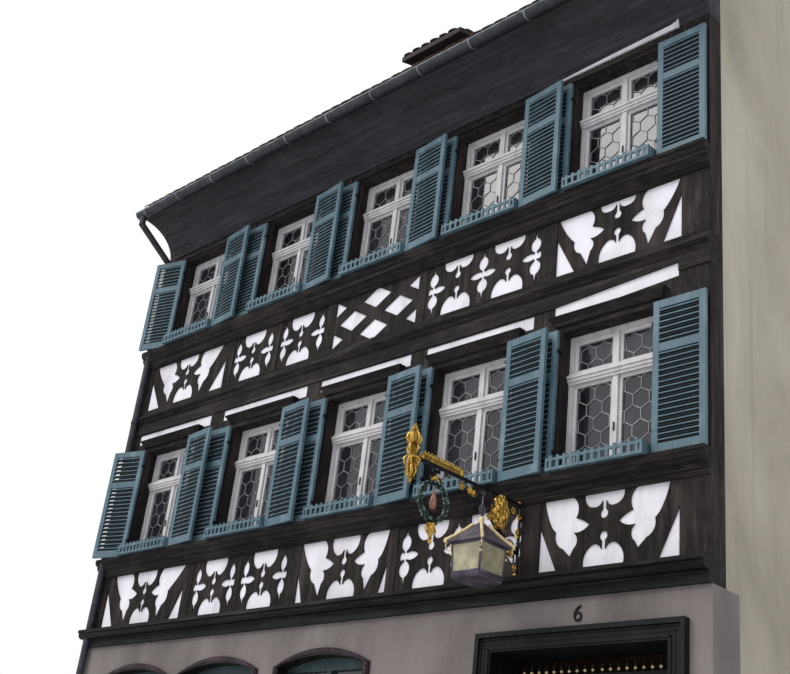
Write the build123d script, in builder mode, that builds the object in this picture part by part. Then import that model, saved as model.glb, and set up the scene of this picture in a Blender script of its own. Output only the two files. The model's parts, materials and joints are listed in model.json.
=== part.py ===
from build123d import *
import os

# Half timbered row house. Street front faces -Y, +X is to the right seen from the street,
# Z is up from the ground. While the pieces are drawn, X = 0 is the middle of the front and
# Y = 0 the face of its timbers. Each finished piece is saved with Y = 0 at half the depth.

os.makedirs("parts", exist_ok=True)

# House body
house_width = 8900
house_depth = 8000
party_wall = 300
stone_wall = 400
timber_wall = 200
ground_slab = 60
floor_thickness = 180
roof_thickness = 120
half_width = house_width / 2


def across(x):
    """Place or length along the front, stated for a front of 8.9 m, that stretches with the house."""
    return x * house_width / 8900


# Levels of the street front, each from the one below
cornice_bottom = 4000
cornice_height = 200
cornice_top = cornice_bottom + cornice_height
panel_height = 640
first_panel_bottom = cornice_top + 50
first_panel_top = first_panel_bottom + panel_height
first_sill = first_panel_top + 220
first_window_height = 1440
beam_bottom = first_sill + first_window_height + 290
beam_top = beam_bottom + 310
second_floor = beam_top - 70
second_panel_bottom = beam_top + 40
second_panel_top = second_panel_bottom + panel_height
second_sill = second_panel_top + 255
second_window_height = 1370
wall_top = second_sill + second_window_height + 165

# Eaves
cove_reach = 560
cove_top = wall_top + 440
cove_board = 25
eave_board = 12
eave_end = 40
gutter_level = cove_top + 20
gutter_radius = 70
gutter_wall = 5

# Windows of the two timbered storeys, from the left
window_centres = [across(x) for x in (-3410, -1590, 140, 1770, 3390)]
window_width = across(1050)
window_setback = 140
frame_depth = 46
sash_depth = 22
frame_bar = 50
sash_bar = 32
mullion_bar = 56
transom_bar = 116
transom_share = 0.695
glass_thickness = 6

# Boards between the posts of the parapets: left edge, right edge
wide_left = (across(-4205), across(-2560))
twin_a = (across(-2400), across(-1585))
twin_b = (across(-1495), across(-640))
middle = (across(-500), across(845))
double_right = (across(970), across(2560))
wide_right = (across(2737), across(4155))
panels = (wide_left, twin_a, twin_b, middle, double_right, wide_right)
fret_setback = 4
fret_board = 14
infill_board = 60

# Plaster strips over the windows: left edge, right edge, rise of the left end, rise of the right end
strips = [
    (across(left), across(right), left_lift, right_lift)
    for left, right, left_lift, right_lift in (
        (-4205, -2640, 0, 0),
        (-2380, -820, 0, 0),
        (-580, 850, 0, 0),
        (1080, 2510, 0, 0),
        (2760, 4130, 20, 105),
    )
]
strip_bottom = beam_bottom - 150
strip_top = beam_bottom - 12
strip_setback = 10
strip_board = 50

# Shutters
shutter_width = across(520)
shutter_thickness = 36
shutter_stile = 62
shutter_rail = 80
shutter_rail_share = 0.68
shutter_foot = 90
shutter_head = 75
shutter_field = 12
shutter_gap = 8
under_shutter_out = 30
over_shutter_out = 84
over_shutter_turn = 6
loose_shutter_turn = 15

# Flower box rails
box_length = across(1010)
box_height = 135
box_out = 170
box_board = 18

# Doorway
door_centre = half_width - across(1255)
door_width = across(1780)
door_height = cornice_bottom - 420
door_lining = 80
door_casing = 165
casing_proud = 45
edge_mould = 42
edge_mould_proud = 30

# Gate
gate_setback = 300
gate_pivot_radius = 15
gate_pivot_clearance = 0.05
gate_pivot_inset = 32
gate_meeting_gap = 10
gate_bottom = 90
gate_tip_top = door_height - 25
gate_rail_top = gate_tip_top - 125
gate_tip = 70
gate_tip_taper = 4.5
gate_bar = 14
gate_bar_pitch = 81
gate_rail = 36
gate_rail_thickness = 16

# Arched windows of the ground floor
arch_centres = [across(x) for x in (-3210, -1620, 65)]
arch_half_width = across(660)
arch_sill = 950
arch_spring = cornice_bottom - 410
arch_rise = 115
arch_setback = 120
arch_bar = 70
arch_casing = 45
arch_casing_proud = 22
arch_lining = 20
arch_transom = arch_spring - 700
arch_light_width = arch_half_width - 1.5 * arch_bar
arch_light_offset = (arch_bar + arch_light_width) / 2
arch_lights = (
    (arch_sill + arch_bar, arch_transom - arch_bar / 2),
    (arch_transom + arch_bar / 2, arch_spring - arch_bar / 2),
)

# Downpipe, in a slot of the mouldings
pipe_radius = 45
pipe_x = 110 - half_width
pipe_y = -62
pipe_slot = 50

# Sign bracket, square to the front
sign_x = across(2520)
arm_level = first_sill - 225
arm_length = 1420
arm_size = 26


def box_between(x0, x1, y0, y1, z0, z1):
    """Adds a block between six faces to the part that is open."""
    with Locations(((x0 + x1) / 2, (y0 + y1) / 2, (z0 + z1) / 2)):
        return Box(x1 - x0, y1 - y0, z1 - z0)


def cut_between(x0, x1, y0, y1, z0, z1):
    """Cuts a block between six faces out of the part that is open."""
    with Locations(((x0 + x1) / 2, (y0 + y1) / 2, (z0 + z1) / 2)):
        return Box(x1 - x0, y1 - y0, z1 - z0, mode=Mode.SUBTRACT)


def pipe_slot_between(bottom, top):
    """Cuts the way of the downpipe through a moulding that is open."""
    with Locations((pipe_x, pipe_y, (bottom + top) / 2)):
        Cylinder(pipe_slot, top - bottom, mode=Mode.SUBTRACT)


def save(part, name):
    """Moves a finished piece to the middle of the footprint, names it and writes its file."""
    placed = part.moved(Location((0, -house_depth / 2, 0)))
    placed.label = name
    export_step(placed, f"parts/{name}.step")


# Roof geometry shared by the walls, the roof and the dormer
def roof_under(y):
    """Height of the roof's underside over a point on the depth of the house."""
    run = min(y, house_depth - y) + cove_reach
    return cove_top + cove_board + run


ridge_under = roof_under(house_depth / 2)
roof_drop = roof_thickness * 2**0.5
ridge_top = ridge_under + roof_drop


def arch_outline(centre, grow=0):
    """Face of an arched window opening in the plane of the front, made larger or smaller all round."""
    left, right = centre - arch_half_width - grow, centre + arch_half_width + grow
    foot, crown = arch_sill - grow, arch_spring + arch_rise + grow
    with BuildSketch() as shape:
        with BuildLine():
            Polyline((left, arch_spring), (left, foot), (right, foot), (right, arch_spring))
            ThreePointArc((left, arch_spring), (centre, crown), (right, arch_spring))
        make_face()
    return shape.sketch


# Ground floor walls: left part with the arched windows, right pier, wall over the doorway
door_left = door_centre - door_width / 2 - door_lining
door_right = door_centre + door_width / 2 + door_lining
door_head = door_height + door_lining

with BuildPart() as ground_wall_left:
    box_between(-half_width, door_left, 0, stone_wall, 0, cornice_bottom)
    with BuildSketch(Plane.XZ):
        for centre in arch_centres:
            add(arch_outline(centre))
    extrude(amount=-stone_wall, mode=Mode.SUBTRACT)
save(ground_wall_left.part, "ground_wall_left")

with BuildPart() as ground_wall_right:
    box_between(door_right, half_width, 0, stone_wall, 0, cornice_bottom)
save(ground_wall_right.part, "ground_wall_right")

with BuildPart() as wall_over_door:
    box_between(door_left, door_right, 0, stone_wall, door_head, cornice_bottom)
save(wall_over_door.part, "wall_over_door")

# Timber door surround: lining inside the wall, casing on its face, raised outer edge
with BuildPart() as door_surround:
    inner_left, inner_right = door_centre - door_width / 2, door_centre + door_width / 2
    outer_left, outer_right = inner_left - door_casing, inner_right + door_casing
    outer_top = door_height + door_casing
    box_between(door_left, door_right, 0, stone_wall, 0, door_head)
    box_between(outer_left, outer_right, -casing_proud, 0, 0, outer_top)
    mould_y = -casing_proud - edge_mould_proud
    box_between(outer_left, outer_right, mould_y, -casing_proud, 0, outer_top)
    cut_between(
        outer_left + edge_mould, outer_right - edge_mould, mould_y, -casing_proud, 0, outer_top - edge_mould
    )
    cut_between(inner_left, inner_right, mould_y, stone_wall, 0, door_height)
save(door_surround.part, "door_surround")

# Gate: pivots held by collars on the lining, two leaves of bars between rails
pivot_left_x = inner_left + gate_pivot_inset
pivot_right_x = inner_right - gate_pivot_inset
collar_levels = (420, gate_rail_top - 350)
collar_height = 40
collar_arm = 26
with BuildPart() as gate_collars:
    for level in collar_levels:
        for near, far in (
            (inner_left, pivot_left_x + collar_arm),
            (pivot_right_x - collar_arm, inner_right),
        ):
            box_between(
                near,
                far,
                gate_setback - collar_arm,
                gate_setback + collar_arm,
                level,
                level + collar_height,
            )
    for level in collar_levels:
        with Locations((pivot_left_x, gate_setback, level), (pivot_right_x, gate_setback, level)):
            Cylinder(
                gate_pivot_radius + gate_pivot_clearance,
                collar_height,
                align=(Align.CENTER, Align.CENTER, Align.MIN),
                mode=Mode.SUBTRACT,
            )
save(gate_collars.part, "gate_collars")

rail_levels = (gate_bottom + 10, 1150, gate_rail_top - gate_rail)
meeting_left = door_centre - gate_meeting_gap / 2
bar_first = pivot_left_x + gate_bar_pitch
bar_count = int((meeting_left - 40 - bar_first) / gate_bar_pitch) + 1
with BuildPart() as gate_leaf_left:
    with BuildSketch(Plane.XY.offset(gate_bottom)):
        with Locations((pivot_left_x, gate_setback)):
            Circle(gate_pivot_radius)
    extrude(amount=gate_rail_top - gate_bottom)
    for level in rail_levels:
        box_between(
            pivot_left_x,
            meeting_left,
            gate_setback - gate_rail_thickness / 2,
            gate_setback + gate_rail_thickness / 2,
            level,
            level + gate_rail,
        )
    box_between(
        meeting_left - 26, meeting_left, gate_setback - 13, gate_setback + 13, gate_bottom, gate_rail_top
    )
    bar_places = [(bar_first + number * gate_bar_pitch, gate_setback) for number in range(bar_count)]
    with BuildSketch(Plane.XY.offset(gate_bottom + 10)):
        with Locations(*bar_places):
            Rectangle(gate_bar, gate_bar)
    extrude(amount=gate_tip_top - gate_tip - gate_bottom - 10)
    with BuildSketch(Plane.XY.offset(gate_tip_top - gate_tip)):
        with Locations(*bar_places):
            Rectangle(gate_bar, gate_bar)
    extrude(amount=gate_tip, taper=gate_tip_taper)
save(gate_leaf_left.part, "gate_leaf_left")

with BuildPart() as gate_leaf_right:
    add(mirror(gate_leaf_left.part, about=Plane.YZ.offset(door_centre)))
save(gate_leaf_right.part, "gate_leaf_right")

# House number on the plaster over the door
number_x, number_z = door_centre, door_height + 210
with BuildPart() as house_number:
    with BuildSketch(Plane.XZ):
        with Locations((number_x, number_z + 45)):
            Circle(42)
        with BuildLine():
            outer_curve = ThreePointArc(
                (number_x - 42, number_z + 45),
                (number_x - 22, number_z + 112),
                (number_x + 32, number_z + 138),
            )
            tip = Line(outer_curve @ 1, (number_x + 24, number_z + 120))
            inner_curve = ThreePointArc(
                tip @ 1, (number_x - 6, number_z + 92), (number_x - 20, number_z + 45)
            )
            Line(inner_curve @ 1, outer_curve @ 0)
        make_face()
        with Locations((number_x, number_z + 45)):
            Circle(23, mode=Mode.SUBTRACT)
    extrude(amount=10)
save(house_number.part, "house_number")

# Arched windows: moulded casing on the wall, lining of the opening, frame with its bars
with BuildPart() as ground_window_frames:
    for centre in arch_centres:
        with BuildSketch(Plane.XZ):
            add(arch_outline(centre, arch_casing))
            add(arch_outline(centre, -arch_lining), mode=Mode.SUBTRACT)
        extrude(amount=arch_casing_proud)
        with BuildSketch(Plane.XZ):
            add(arch_outline(centre))
            add(arch_outline(centre, -arch_lining), mode=Mode.SUBTRACT)
        extrude(amount=-arch_setback)
        with BuildSketch(Plane.XZ.offset(-arch_setback)):
            add(arch_outline(centre))
            for side in (-1, 1):
                for bottom, top in arch_lights:
                    with Locations((centre + side * arch_light_offset, (bottom + top) / 2)):
                        Rectangle(arch_light_width, top - bottom, mode=Mode.SUBTRACT)
        extrude(amount=-frame_depth)
save(ground_window_frames.part, "ground_window_frames")


# Party walls, with the gables that carry the roof
# (side outline: behind the front wall, up to the underside of the roof)
party_outline = (
    (stone_wall, 0),
    (house_depth - stone_wall, 0),
    (house_depth - stone_wall, wall_top),
    (house_depth - timber_wall, wall_top),
    (house_depth - timber_wall, roof_under(house_depth - timber_wall)),
    (house_depth / 2, ridge_under),
    (timber_wall, roof_under(timber_wall)),
    (timber_wall, cornice_bottom),
    (stone_wall, cornice_bottom),
)
with BuildPart() as party_wall_left:
    with BuildSketch(Plane.YZ.offset(-half_width)):
        Polygon(*party_outline, align=None)
    extrude(amount=party_wall)
save(party_wall_left.part, "party_wall_left")

with BuildPart() as party_wall_right:
    with BuildSketch(Plane.YZ.offset(half_width - party_wall)):
        Polygon(*party_outline, align=None)
    extrude(amount=party_wall)
save(party_wall_right.part, "party_wall_right")

# Rear wall in plaster with plain windows, timbers on its upper storeys
rear_centres = (across(-2900), 0, across(2900))
rear_window_rows = (
    (1000, 1500, rear_centres),
    (first_sill + 40, first_window_height - 40, rear_centres),
    (second_sill + 35, second_window_height - 70, rear_centres),
)
rear_window_width = across(1000)
with BuildPart() as rear_wall:
    box_between(-half_width, half_width, house_depth - stone_wall, house_depth, 0, wall_top)
    for sill, height, centres in rear_window_rows:
        for centre in centres:
            cut_between(
                centre - rear_window_width / 2,
                centre + rear_window_width / 2,
                house_depth - stone_wall,
                house_depth,
                sill,
                sill + height,
            )
save(rear_wall.part, "rear_wall")

rear_timber = 170
rear_proud = 18
rear_middle_beam = beam_bottom + 60
rear_studs = [across(x) for x in (-4365, -3485, -2315, -585, 585, 2315, 3485, 4365)]
with BuildPart() as rear_timbers:
    with BuildSketch(Plane.XZ.offset(-house_depth)):
        for level in (cornice_bottom, rear_middle_beam, wall_top - rear_timber):
            with Locations((0, level + rear_timber / 2)):
                Rectangle(house_width, rear_timber)
        for bottom, top in ((cornice_bottom, rear_middle_beam), (rear_middle_beam, wall_top)):
            for x in rear_studs:
                with Locations((x, (bottom + top) / 2)):
                    Rectangle(rear_timber, top - bottom)
        for sill, height, centres in rear_window_rows[1:]:
            for centre in centres:
                for level in (sill - rear_timber, sill + height):
                    with Locations((centre, level + rear_timber / 2)):
                        Rectangle(rear_window_width + 2 * rear_timber, rear_timber)
    extrude(amount=-rear_proud)
save(rear_timbers.part, "rear_timbers")

with BuildPart() as rear_window_frames:
    for sill, height, centres in rear_window_rows:
        for centre in centres:
            with BuildSketch(Plane.XZ.offset(-(house_depth - window_setback))):
                with Locations((centre, sill + height / 2)):
                    Rectangle(rear_window_width, height)
                    Rectangle(rear_window_width - 2 * frame_bar, height - 2 * frame_bar, mode=Mode.SUBTRACT)
                    Rectangle(mullion_bar, height)
                with Locations((centre, sill + height * transom_share)):
                    Rectangle(rear_window_width, transom_bar)
            extrude(amount=frame_depth)
save(rear_window_frames.part, "rear_window_frames")

# Floors between the walls
inner_half = half_width - party_wall
with BuildPart() as floor_ground:
    box_between(-inner_half, inner_half, stone_wall, house_depth - stone_wall, 0, ground_slab)
    box_between(inner_left, inner_right, 0, stone_wall, 0, ground_slab)
save(floor_ground.part, "floor_ground")


def floor_box(top):
    """Adds a floor between the walls, with its upper face at that level, to the part that is open."""
    box_between(
        -inner_half, inner_half, timber_wall, house_depth - stone_wall, top - floor_thickness, top
    )


with BuildPart() as floor_first:
    floor_box(cornice_top)
save(floor_first.part, "floor_first")

with BuildPart() as floor_second:
    floor_box(second_floor)
save(floor_second.part, "floor_second")

with BuildPart() as floor_attic:
    floor_box(wall_top)
save(floor_attic.part, "floor_attic")

# Moulded beam between the ground floor and the first floor: fascia, hollow, round nose, cap
with BuildPart() as cornice_beam:
    with BuildSketch(Plane.YZ.offset(-half_width)):
        with BuildLine():
            Polyline(
                (-40, cornice_bottom + 78),
                (-40, cornice_bottom),
                (timber_wall, cornice_bottom),
                (timber_wall, cornice_top),
                (-150, cornice_top),
                (-150, cornice_top - 30),
                (-132, cornice_top - 36),
            )
            ThreePointArc(
                (-132, cornice_top - 36), (-128, cornice_bottom + 128), (-100, cornice_bottom + 98)
            )
            Line((-100, cornice_bottom + 98), (-62, cornice_bottom + 98))
            Line((-62, cornice_bottom + 98), (-40, cornice_bottom + 78))
        make_face()
    extrude(amount=house_width)
    pipe_slot_between(cornice_bottom, cornice_top)
save(cornice_beam.part, "cornice_beam")

# Timber walls of the two upper storeys, with window and panel openings


def wall_openings(panel_bottom, panel_top, sill, window_height):
    """Cuts the openings of one timbered storey out of the wall that is open."""
    for centre in window_centres:
        cut_between(
            centre - window_width / 2, centre + window_width / 2, 0, timber_wall, sill, sill + window_height
        )
    for left, right in panels:
        cut_between(left, right, 0, timber_wall, panel_bottom, panel_top)


def strip_sketch():
    """Faces of the plaster strips over the first floor windows, in the plane of the front."""
    with BuildSketch() as shape:
        for left, right, left_lift, right_lift in strips:
            Polygon(
                (left, strip_bottom + left_lift),
                (right, strip_bottom + right_lift),
                (right, strip_top + right_lift),
                (left, strip_top + left_lift),
                align=None,
            )
    return shape.sketch


with BuildPart() as first_wall:
    box_between(-half_width, half_width, 0, timber_wall, cornice_top, beam_bottom)
    wall_openings(first_panel_bottom, first_panel_top, first_sill, first_window_height)
    with BuildSketch(Plane.XZ):
        add(strip_sketch())
    extrude(amount=-timber_wall, mode=Mode.SUBTRACT)
save(first_wall.part, "first_wall")

with BuildPart() as second_wall:
    box_between(-half_width, half_width, 0, timber_wall, beam_top, wall_top)
    wall_openings(second_panel_bottom, second_panel_top, second_sill, second_window_height)
save(second_wall.part, "second_wall")

# Moulded beam between the two timbered storeys, let out for the strip that rises into it
beam_face = 12
with BuildPart() as middle_beam:
    with BuildSketch(Plane.YZ.offset(-half_width)):
        Polygon(
            (timber_wall, beam_top),
            (timber_wall, beam_bottom),
            (-beam_face, beam_bottom),
            (-beam_face, beam_top - 160),
            (-beam_face - 18, beam_top - 145),
            (-beam_face - 18, beam_top - 115),
            (-beam_face - 40, beam_top - 95),
            (-beam_face - 40, beam_top - 48),
            (-beam_face - 8, beam_top - 25),
            (-beam_face - 8, beam_top),
            align=None,
        )
    extrude(amount=house_width)
    with BuildSketch(Plane.XZ.offset(beam_face)):
        add(strip_sketch())
    extrude(amount=-(beam_face + strip_setback + strip_board), mode=Mode.SUBTRACT)
    pipe_slot_between(beam_bottom, beam_top)
save(middle_beam.part, "middle_beam")

# White plaster behind the fretwork and in the strips over the windows
infill_front = fret_setback + fret_board
with BuildPart() as parapet_infill:
    for panel_bottom, panel_top in (
        (first_panel_bottom, first_panel_top),
        (second_panel_bottom, second_panel_top),
    ):
        for left, right in panels:
            box_between(left, right, infill_front, infill_front + infill_board, panel_bottom, panel_top)
    with BuildSketch(Plane.XZ.offset(-strip_setback)):
        add(strip_sketch())
    extrude(amount=-strip_board)
save(parapet_infill.part, "parapet_infill")


# Fretwork of the parapets: boards sawn out between curved crosses, spindles and corner braces
lobe_half = 205
drop_radius = 41
drop_below = 66
neck_half = 19


def lobed_shape(x, edge, way, depth):
    """Opening between two arms of a cross: two lobes at a rail, a neck and a round drop."""

    def at(run, rise):
        return (x + across(run), edge + way * rise)

    with BuildSketch() as shape:
        with BuildLine():
            for side in (-1, 1):
                ThreePointArc(at(side * lobe_half, 0), at(side * 182, depth * 0.7), at(side * 112, depth))
                ThreePointArc(
                    at(side * 112, depth), at(side * 50, depth - 10), at(side * neck_half, depth - 50)
                )
                Line(at(side * neck_half, depth - 50), at(side * neck_half, depth + drop_below))
            Line(at(-neck_half, depth + drop_below), at(neck_half, depth + drop_below))
            Line(at(-lobe_half, 0), at(lobe_half, 0))
        make_face()
        with Locations(at(0, depth + drop_below)):
            Circle(drop_radius)
    return shape.sketch


def side_shape(x, bottom, side, reach, tip):
    """Opening beside a cross, with a leaf that points to its middle and a scroll at the brace."""

    def at(run, rise):
        return (x + side * across(run), bottom + rise)

    with BuildSketch() as shape:
        with BuildLine():
            ThreePointArc(at(330, panel_height), at(268, 545), at(290, 448))
            ThreePointArc(at(290, 448), at(232, 425), at(150, 372))
            ThreePointArc(at(150, 372), at(222, 326), at(312, 318))
            ThreePointArc(at(312, 318), at(272, 252), at(306, 178))
            Polyline(at(306, 178), at(345, tip), at(428, 190))
            ThreePointArc(at(428, 190), at(496, 245), at(508, 345))
            Line(at(508, 345), at(552, 392))
            ThreePointArc(at(552, 392), at((reach + 552) / 2 + 12, 515), at(reach, panel_height))
            Line(at(reach, panel_height), at(330, panel_height))
        make_face()
    return shape.sketch


def corner_shape(corner_x, bottom, side, base, apex):
    """Three-cornered opening at the foot of a post."""
    with BuildSketch() as shape:
        Polygon(
            (corner_x, bottom),
            (corner_x - side * across(base), bottom),
            (corner_x, bottom + apex),
            align=None,
        )
    return shape.sketch


def spindle_shape(x, bottom, leaf_left, leaf_right, belly):
    """Opening like a slim spindle with pointed ends, with a leaf or a knob at each side."""
    with BuildSketch() as shape:
        with BuildLine():
            for side, leaf in ((-1, leaf_left), (1, leaf_right)):
                reach, swell = (178, 100) if leaf else (72, 52)

                def at(run, rise):
                    return (x + side * across(run), bottom + rise)

                Line(at(0, 626), at(15, 545))
                ThreePointArc(at(15, 545), at(belly, 466), at(18, 390))
                Line(at(18, 390), at(18, 368))
                ThreePointArc(at(18, 368), at(swell, 378), at(reach, 338))
                ThreePointArc(at(reach, 338), at(swell, 296), at(18, 306))
                Line(at(18, 306), at(18, 284))
                ThreePointArc(at(18, 284), at(belly + 6, 208), at(17, 125))
                Line(at(17, 125), at(0, 12))
        make_face()
    return shape.sketch


def wide_panel(bounds, bottom, cross_x, cup, dome, reaches, tip, corners):
    """Board of a wide panel: one cross, an opening at each side of it, two corner openings."""
    left, right = bounds
    top = bottom + panel_height
    with BuildSketch() as shape:
        with Locations(((left + right) / 2, bottom + panel_height / 2)):
            Rectangle(right - left, panel_height)
        add(lobed_shape(cross_x, top, -1, cup), mode=Mode.SUBTRACT)
        add(lobed_shape(cross_x, bottom, 1, dome), mode=Mode.SUBTRACT)
        for side, edge, reach, (base, apex) in zip((-1, 1), bounds, reaches, corners):
            add(side_shape(cross_x, bottom, side, reach, tip), mode=Mode.SUBTRACT)
            add(corner_shape(edge, bottom, side, base, apex), mode=Mode.SUBTRACT)
    return shape.sketch


def narrow_panel(bounds, bottom, crosses, spindles, cup, dome, belly):
    """Board of a panel with crosses between spindles."""
    left, right = bounds
    top = bottom + panel_height
    with BuildSketch() as shape:
        with Locations(((left + right) / 2, bottom + panel_height / 2)):
            Rectangle(right - left, panel_height)
        for x in crosses:
            add(lobed_shape(across(x), top, -1, cup), mode=Mode.SUBTRACT)
            add(lobed_shape(across(x), bottom, 1, dome), mode=Mode.SUBTRACT)
        for number, x in enumerate(spindles):
            last = len(spindles) - 1
            shape_x = spindle_shape(across(x), bottom, number > 0, number < last, belly)
            add(shape_x, mode=Mode.SUBTRACT)
    return shape.sketch


def lattice_panel(bounds, bottom, cross_x):
    """Board pierced by rows of diamonds, so that it looks like crossed laths."""
    left, right = bounds
    middle_z = bottom + panel_height / 2
    cell_half, cell_rise = across(364), 206
    diamond_half, diamond_rise = across(228), 131
    with BuildSketch() as shape:
        with Locations(((left + right) / 2, middle_z)):
            Rectangle(right - left, panel_height)
        for column in range(-2, 3):
            for row in range(-1, 2):
                if (column + row) % 2:
                    x, z = cross_x + column * cell_half, middle_z + row * cell_rise
                    Polygon(
                        (x - diamond_half, z),
                        (x, z - diamond_rise),
                        (x + diamond_half, z),
                        (x, z + diamond_rise),
                        align=None,
                        mode=Mode.SUBTRACT,
                    )
    return shape.sketch


low = first_panel_bottom
with BuildPart() as first_fretwork:
    with BuildSketch(Plane.XZ.offset(-fret_setback)):
        add(wide_panel(wide_left, low, across(-3380), 180, 190, (700, 790), 36, ((245, 470), (215, 400))))
        add(narrow_panel(twin_a, low, (-1990,), (-2294, -1665), 190, 190, 52))
        add(narrow_panel(twin_b, low, (-1108,), (-1412, -770), 190, 190, 52))
        add(wide_panel(middle, low, across(195), 186, 190, (685, 630), 36, ((110, 330), (110, 330))))
        add(narrow_panel(double_right, low, (1415, 2112), (1078, 1750, 2450), 170, 190, 66))
        add(wide_panel(wide_right, low, across(3414), 122, 190, (640, 650), 110, ((190, 400), (200, 420))))
    extrude(amount=-fret_board)
save(first_fretwork.part, "first_fretwork")

low = second_panel_bottom
with BuildPart() as second_fretwork:
    with BuildSketch(Plane.XZ.offset(-fret_setback)):
        add(wide_panel(wide_left, low, across(-3416), 160, 215, (720, 740), 30, ((270, 440), (300, 430))))
        add(narrow_panel(twin_a, low, (-2020,), (-2316, -1697), 182, 195, 52))
        add(narrow_panel(twin_b, low, (-1112,), (-1412, -755), 182, 195, 52))
        add(lattice_panel(middle, low, across(176)))
        add(narrow_panel(double_right, low, (1410, 2112), (1066, 1770, 2465), 130, 205, 66))
        add(wide_panel(wide_right, low, across(3450), 92, 230, (695, 690), 36, ((225, 420), (205, 480))))
    extrude(amount=-fret_board)
save(second_fretwork.part, "second_fretwork")


# Moulded sill beams over the parapets
def sill_profile(bottom, top):
    """Front profile of a sill beam, stepping out upwards."""
    rise = top - bottom
    return [
        (0, bottom),
        (-22, bottom),
        (-22, bottom + rise * 0.16),
        (-40, bottom + rise * 0.22),
        (-40, bottom + rise * 0.30),
        (-78, bottom + rise * 0.52),
        (-78, bottom + rise * 0.62),
        (-98, bottom + rise * 0.68),
        (-120, bottom + rise * 0.80),
        (-120, top),
        (0, top),
    ]


with BuildPart() as first_sill_moulding:
    with BuildSketch(Plane.YZ.offset(-half_width)):
        Polygon(*sill_profile(first_panel_top, first_sill), align=None)
    extrude(amount=house_width)
    pipe_slot_between(first_panel_top, first_sill)
save(first_sill_moulding.part, "first_sill_moulding")

with BuildPart() as second_sill_moulding:
    with BuildSketch(Plane.YZ.offset(-half_width)):
        Polygon(*sill_profile(second_panel_top, second_sill), align=None)
    extrude(amount=house_width)
    pipe_slot_between(second_panel_top, second_sill)
save(second_sill_moulding.part, "second_sill_moulding")

# Hood boards over the windows: flaring on the first floor, plain on the second
hood_foot = 30
hood_height = 88
hood_flare = 34
with BuildPart() as hood_boards:
    for centre in window_centres:
        bottom = first_sill + first_window_height + 60
        with BuildSketch(Plane.XY.offset(bottom)):
            with Locations((centre, -hood_foot / 2)):
                Rectangle(window_width + 120, hood_foot)
        extrude(amount=hood_height, taper=-hood_flare)
        cut_between(
            centre - window_width, centre + window_width, 0, timber_wall, bottom, bottom + hood_height
        )
    for centre in window_centres:
        bottom = second_sill + second_window_height + 30
        box_between(
            centre - window_width / 2 - 90, centre + window_width / 2 + 90, -40, 0, bottom, bottom + 50
        )
save(hood_boards.part, "hood_boards")


# Window frames: post, moulded transom of three steps, and a sash set into each of the four lights
transom_steps = ((12, -58, 58), (26, -30, 44), (40, 2, 30))


def window_frames(sill, height):
    """Frames of one storey's five windows, set back in their openings."""
    transom_z = sill + height * transom_share
    for centre in window_centres:
        left, right = centre - window_width / 2, centre + window_width / 2
        with BuildSketch(Plane.XZ.offset(-window_setback)) as outline:
            with Locations((centre, sill + height / 2)):
                Rectangle(window_width, height)
                Rectangle(window_width - 2 * frame_bar, height - 2 * frame_bar, mode=Mode.SUBTRACT)
                Rectangle(mullion_bar, height)
            with Locations((centre, transom_z)):
                Rectangle(window_width, transom_bar)
        extrude(outline.sketch, amount=-frame_depth)
        light_width = (window_width - mullion_bar) / 2 - frame_bar
        light_offset = (mullion_bar + light_width) / 2
        rows = (
            (sill + frame_bar, transom_z - transom_bar / 2),
            (transom_z + transom_bar / 2, sill + height - frame_bar),
        )
        with BuildSketch(Plane.XZ.offset(-(window_setback + frame_depth - sash_depth))) as sashes:
            for bottom, top in rows:
                with Locations(
                    (centre - light_offset, (bottom + top) / 2), (centre + light_offset, (bottom + top) / 2)
                ):
                    Rectangle(light_width, top - bottom)
            for bottom, top in rows:
                with Locations(
                    (centre - light_offset, (bottom + top) / 2), (centre + light_offset, (bottom + top) / 2)
                ):
                    Rectangle(light_width - 2 * sash_bar, top - bottom - 2 * sash_bar, mode=Mode.SUBTRACT)
        extrude(sashes.sketch, amount=-sash_depth)
        for proud, low_edge, high_edge in transom_steps:
            box_between(
                left,
                right,
                window_setback - proud,
                window_setback,
                transom_z + low_edge,
                transom_z + high_edge,
            )


with BuildPart() as first_window_frames:
    window_frames(first_sill, first_window_height)
save(first_window_frames.part, "first_window_frames")

with BuildPart() as second_window_frames:
    window_frames(second_sill, second_window_height)
save(second_window_frames.part, "second_window_frames")

# Glass behind the bars
glass_y = window_setback + frame_depth
with BuildPart() as front_window_glass:
    for sill, height in ((first_sill, first_window_height), (second_sill, second_window_height)):
        for centre in window_centres:
            box_between(
                centre - window_width / 2,
                centre + window_width / 2,
                glass_y,
                glass_y + glass_thickness,
                sill,
                sill + height,
            )
    for centre in arch_centres:
        with BuildSketch(Plane.XZ.offset(-(arch_setback + frame_depth))):
            add(arch_outline(centre))
        extrude(amount=-glass_thickness)
save(front_window_glass.part, "front_window_glass")

with BuildPart() as rear_window_glass:
    for sill, height, centres in rear_window_rows:
        for centre in centres:
            box_between(
                centre - rear_window_width / 2,
                centre + rear_window_width / 2,
                house_depth - window_setback - frame_depth - glass_thickness,
                house_depth - window_setback - frame_depth,
                sill,
                sill + height,
            )
save(rear_window_glass.part, "rear_window_glass")


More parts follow.
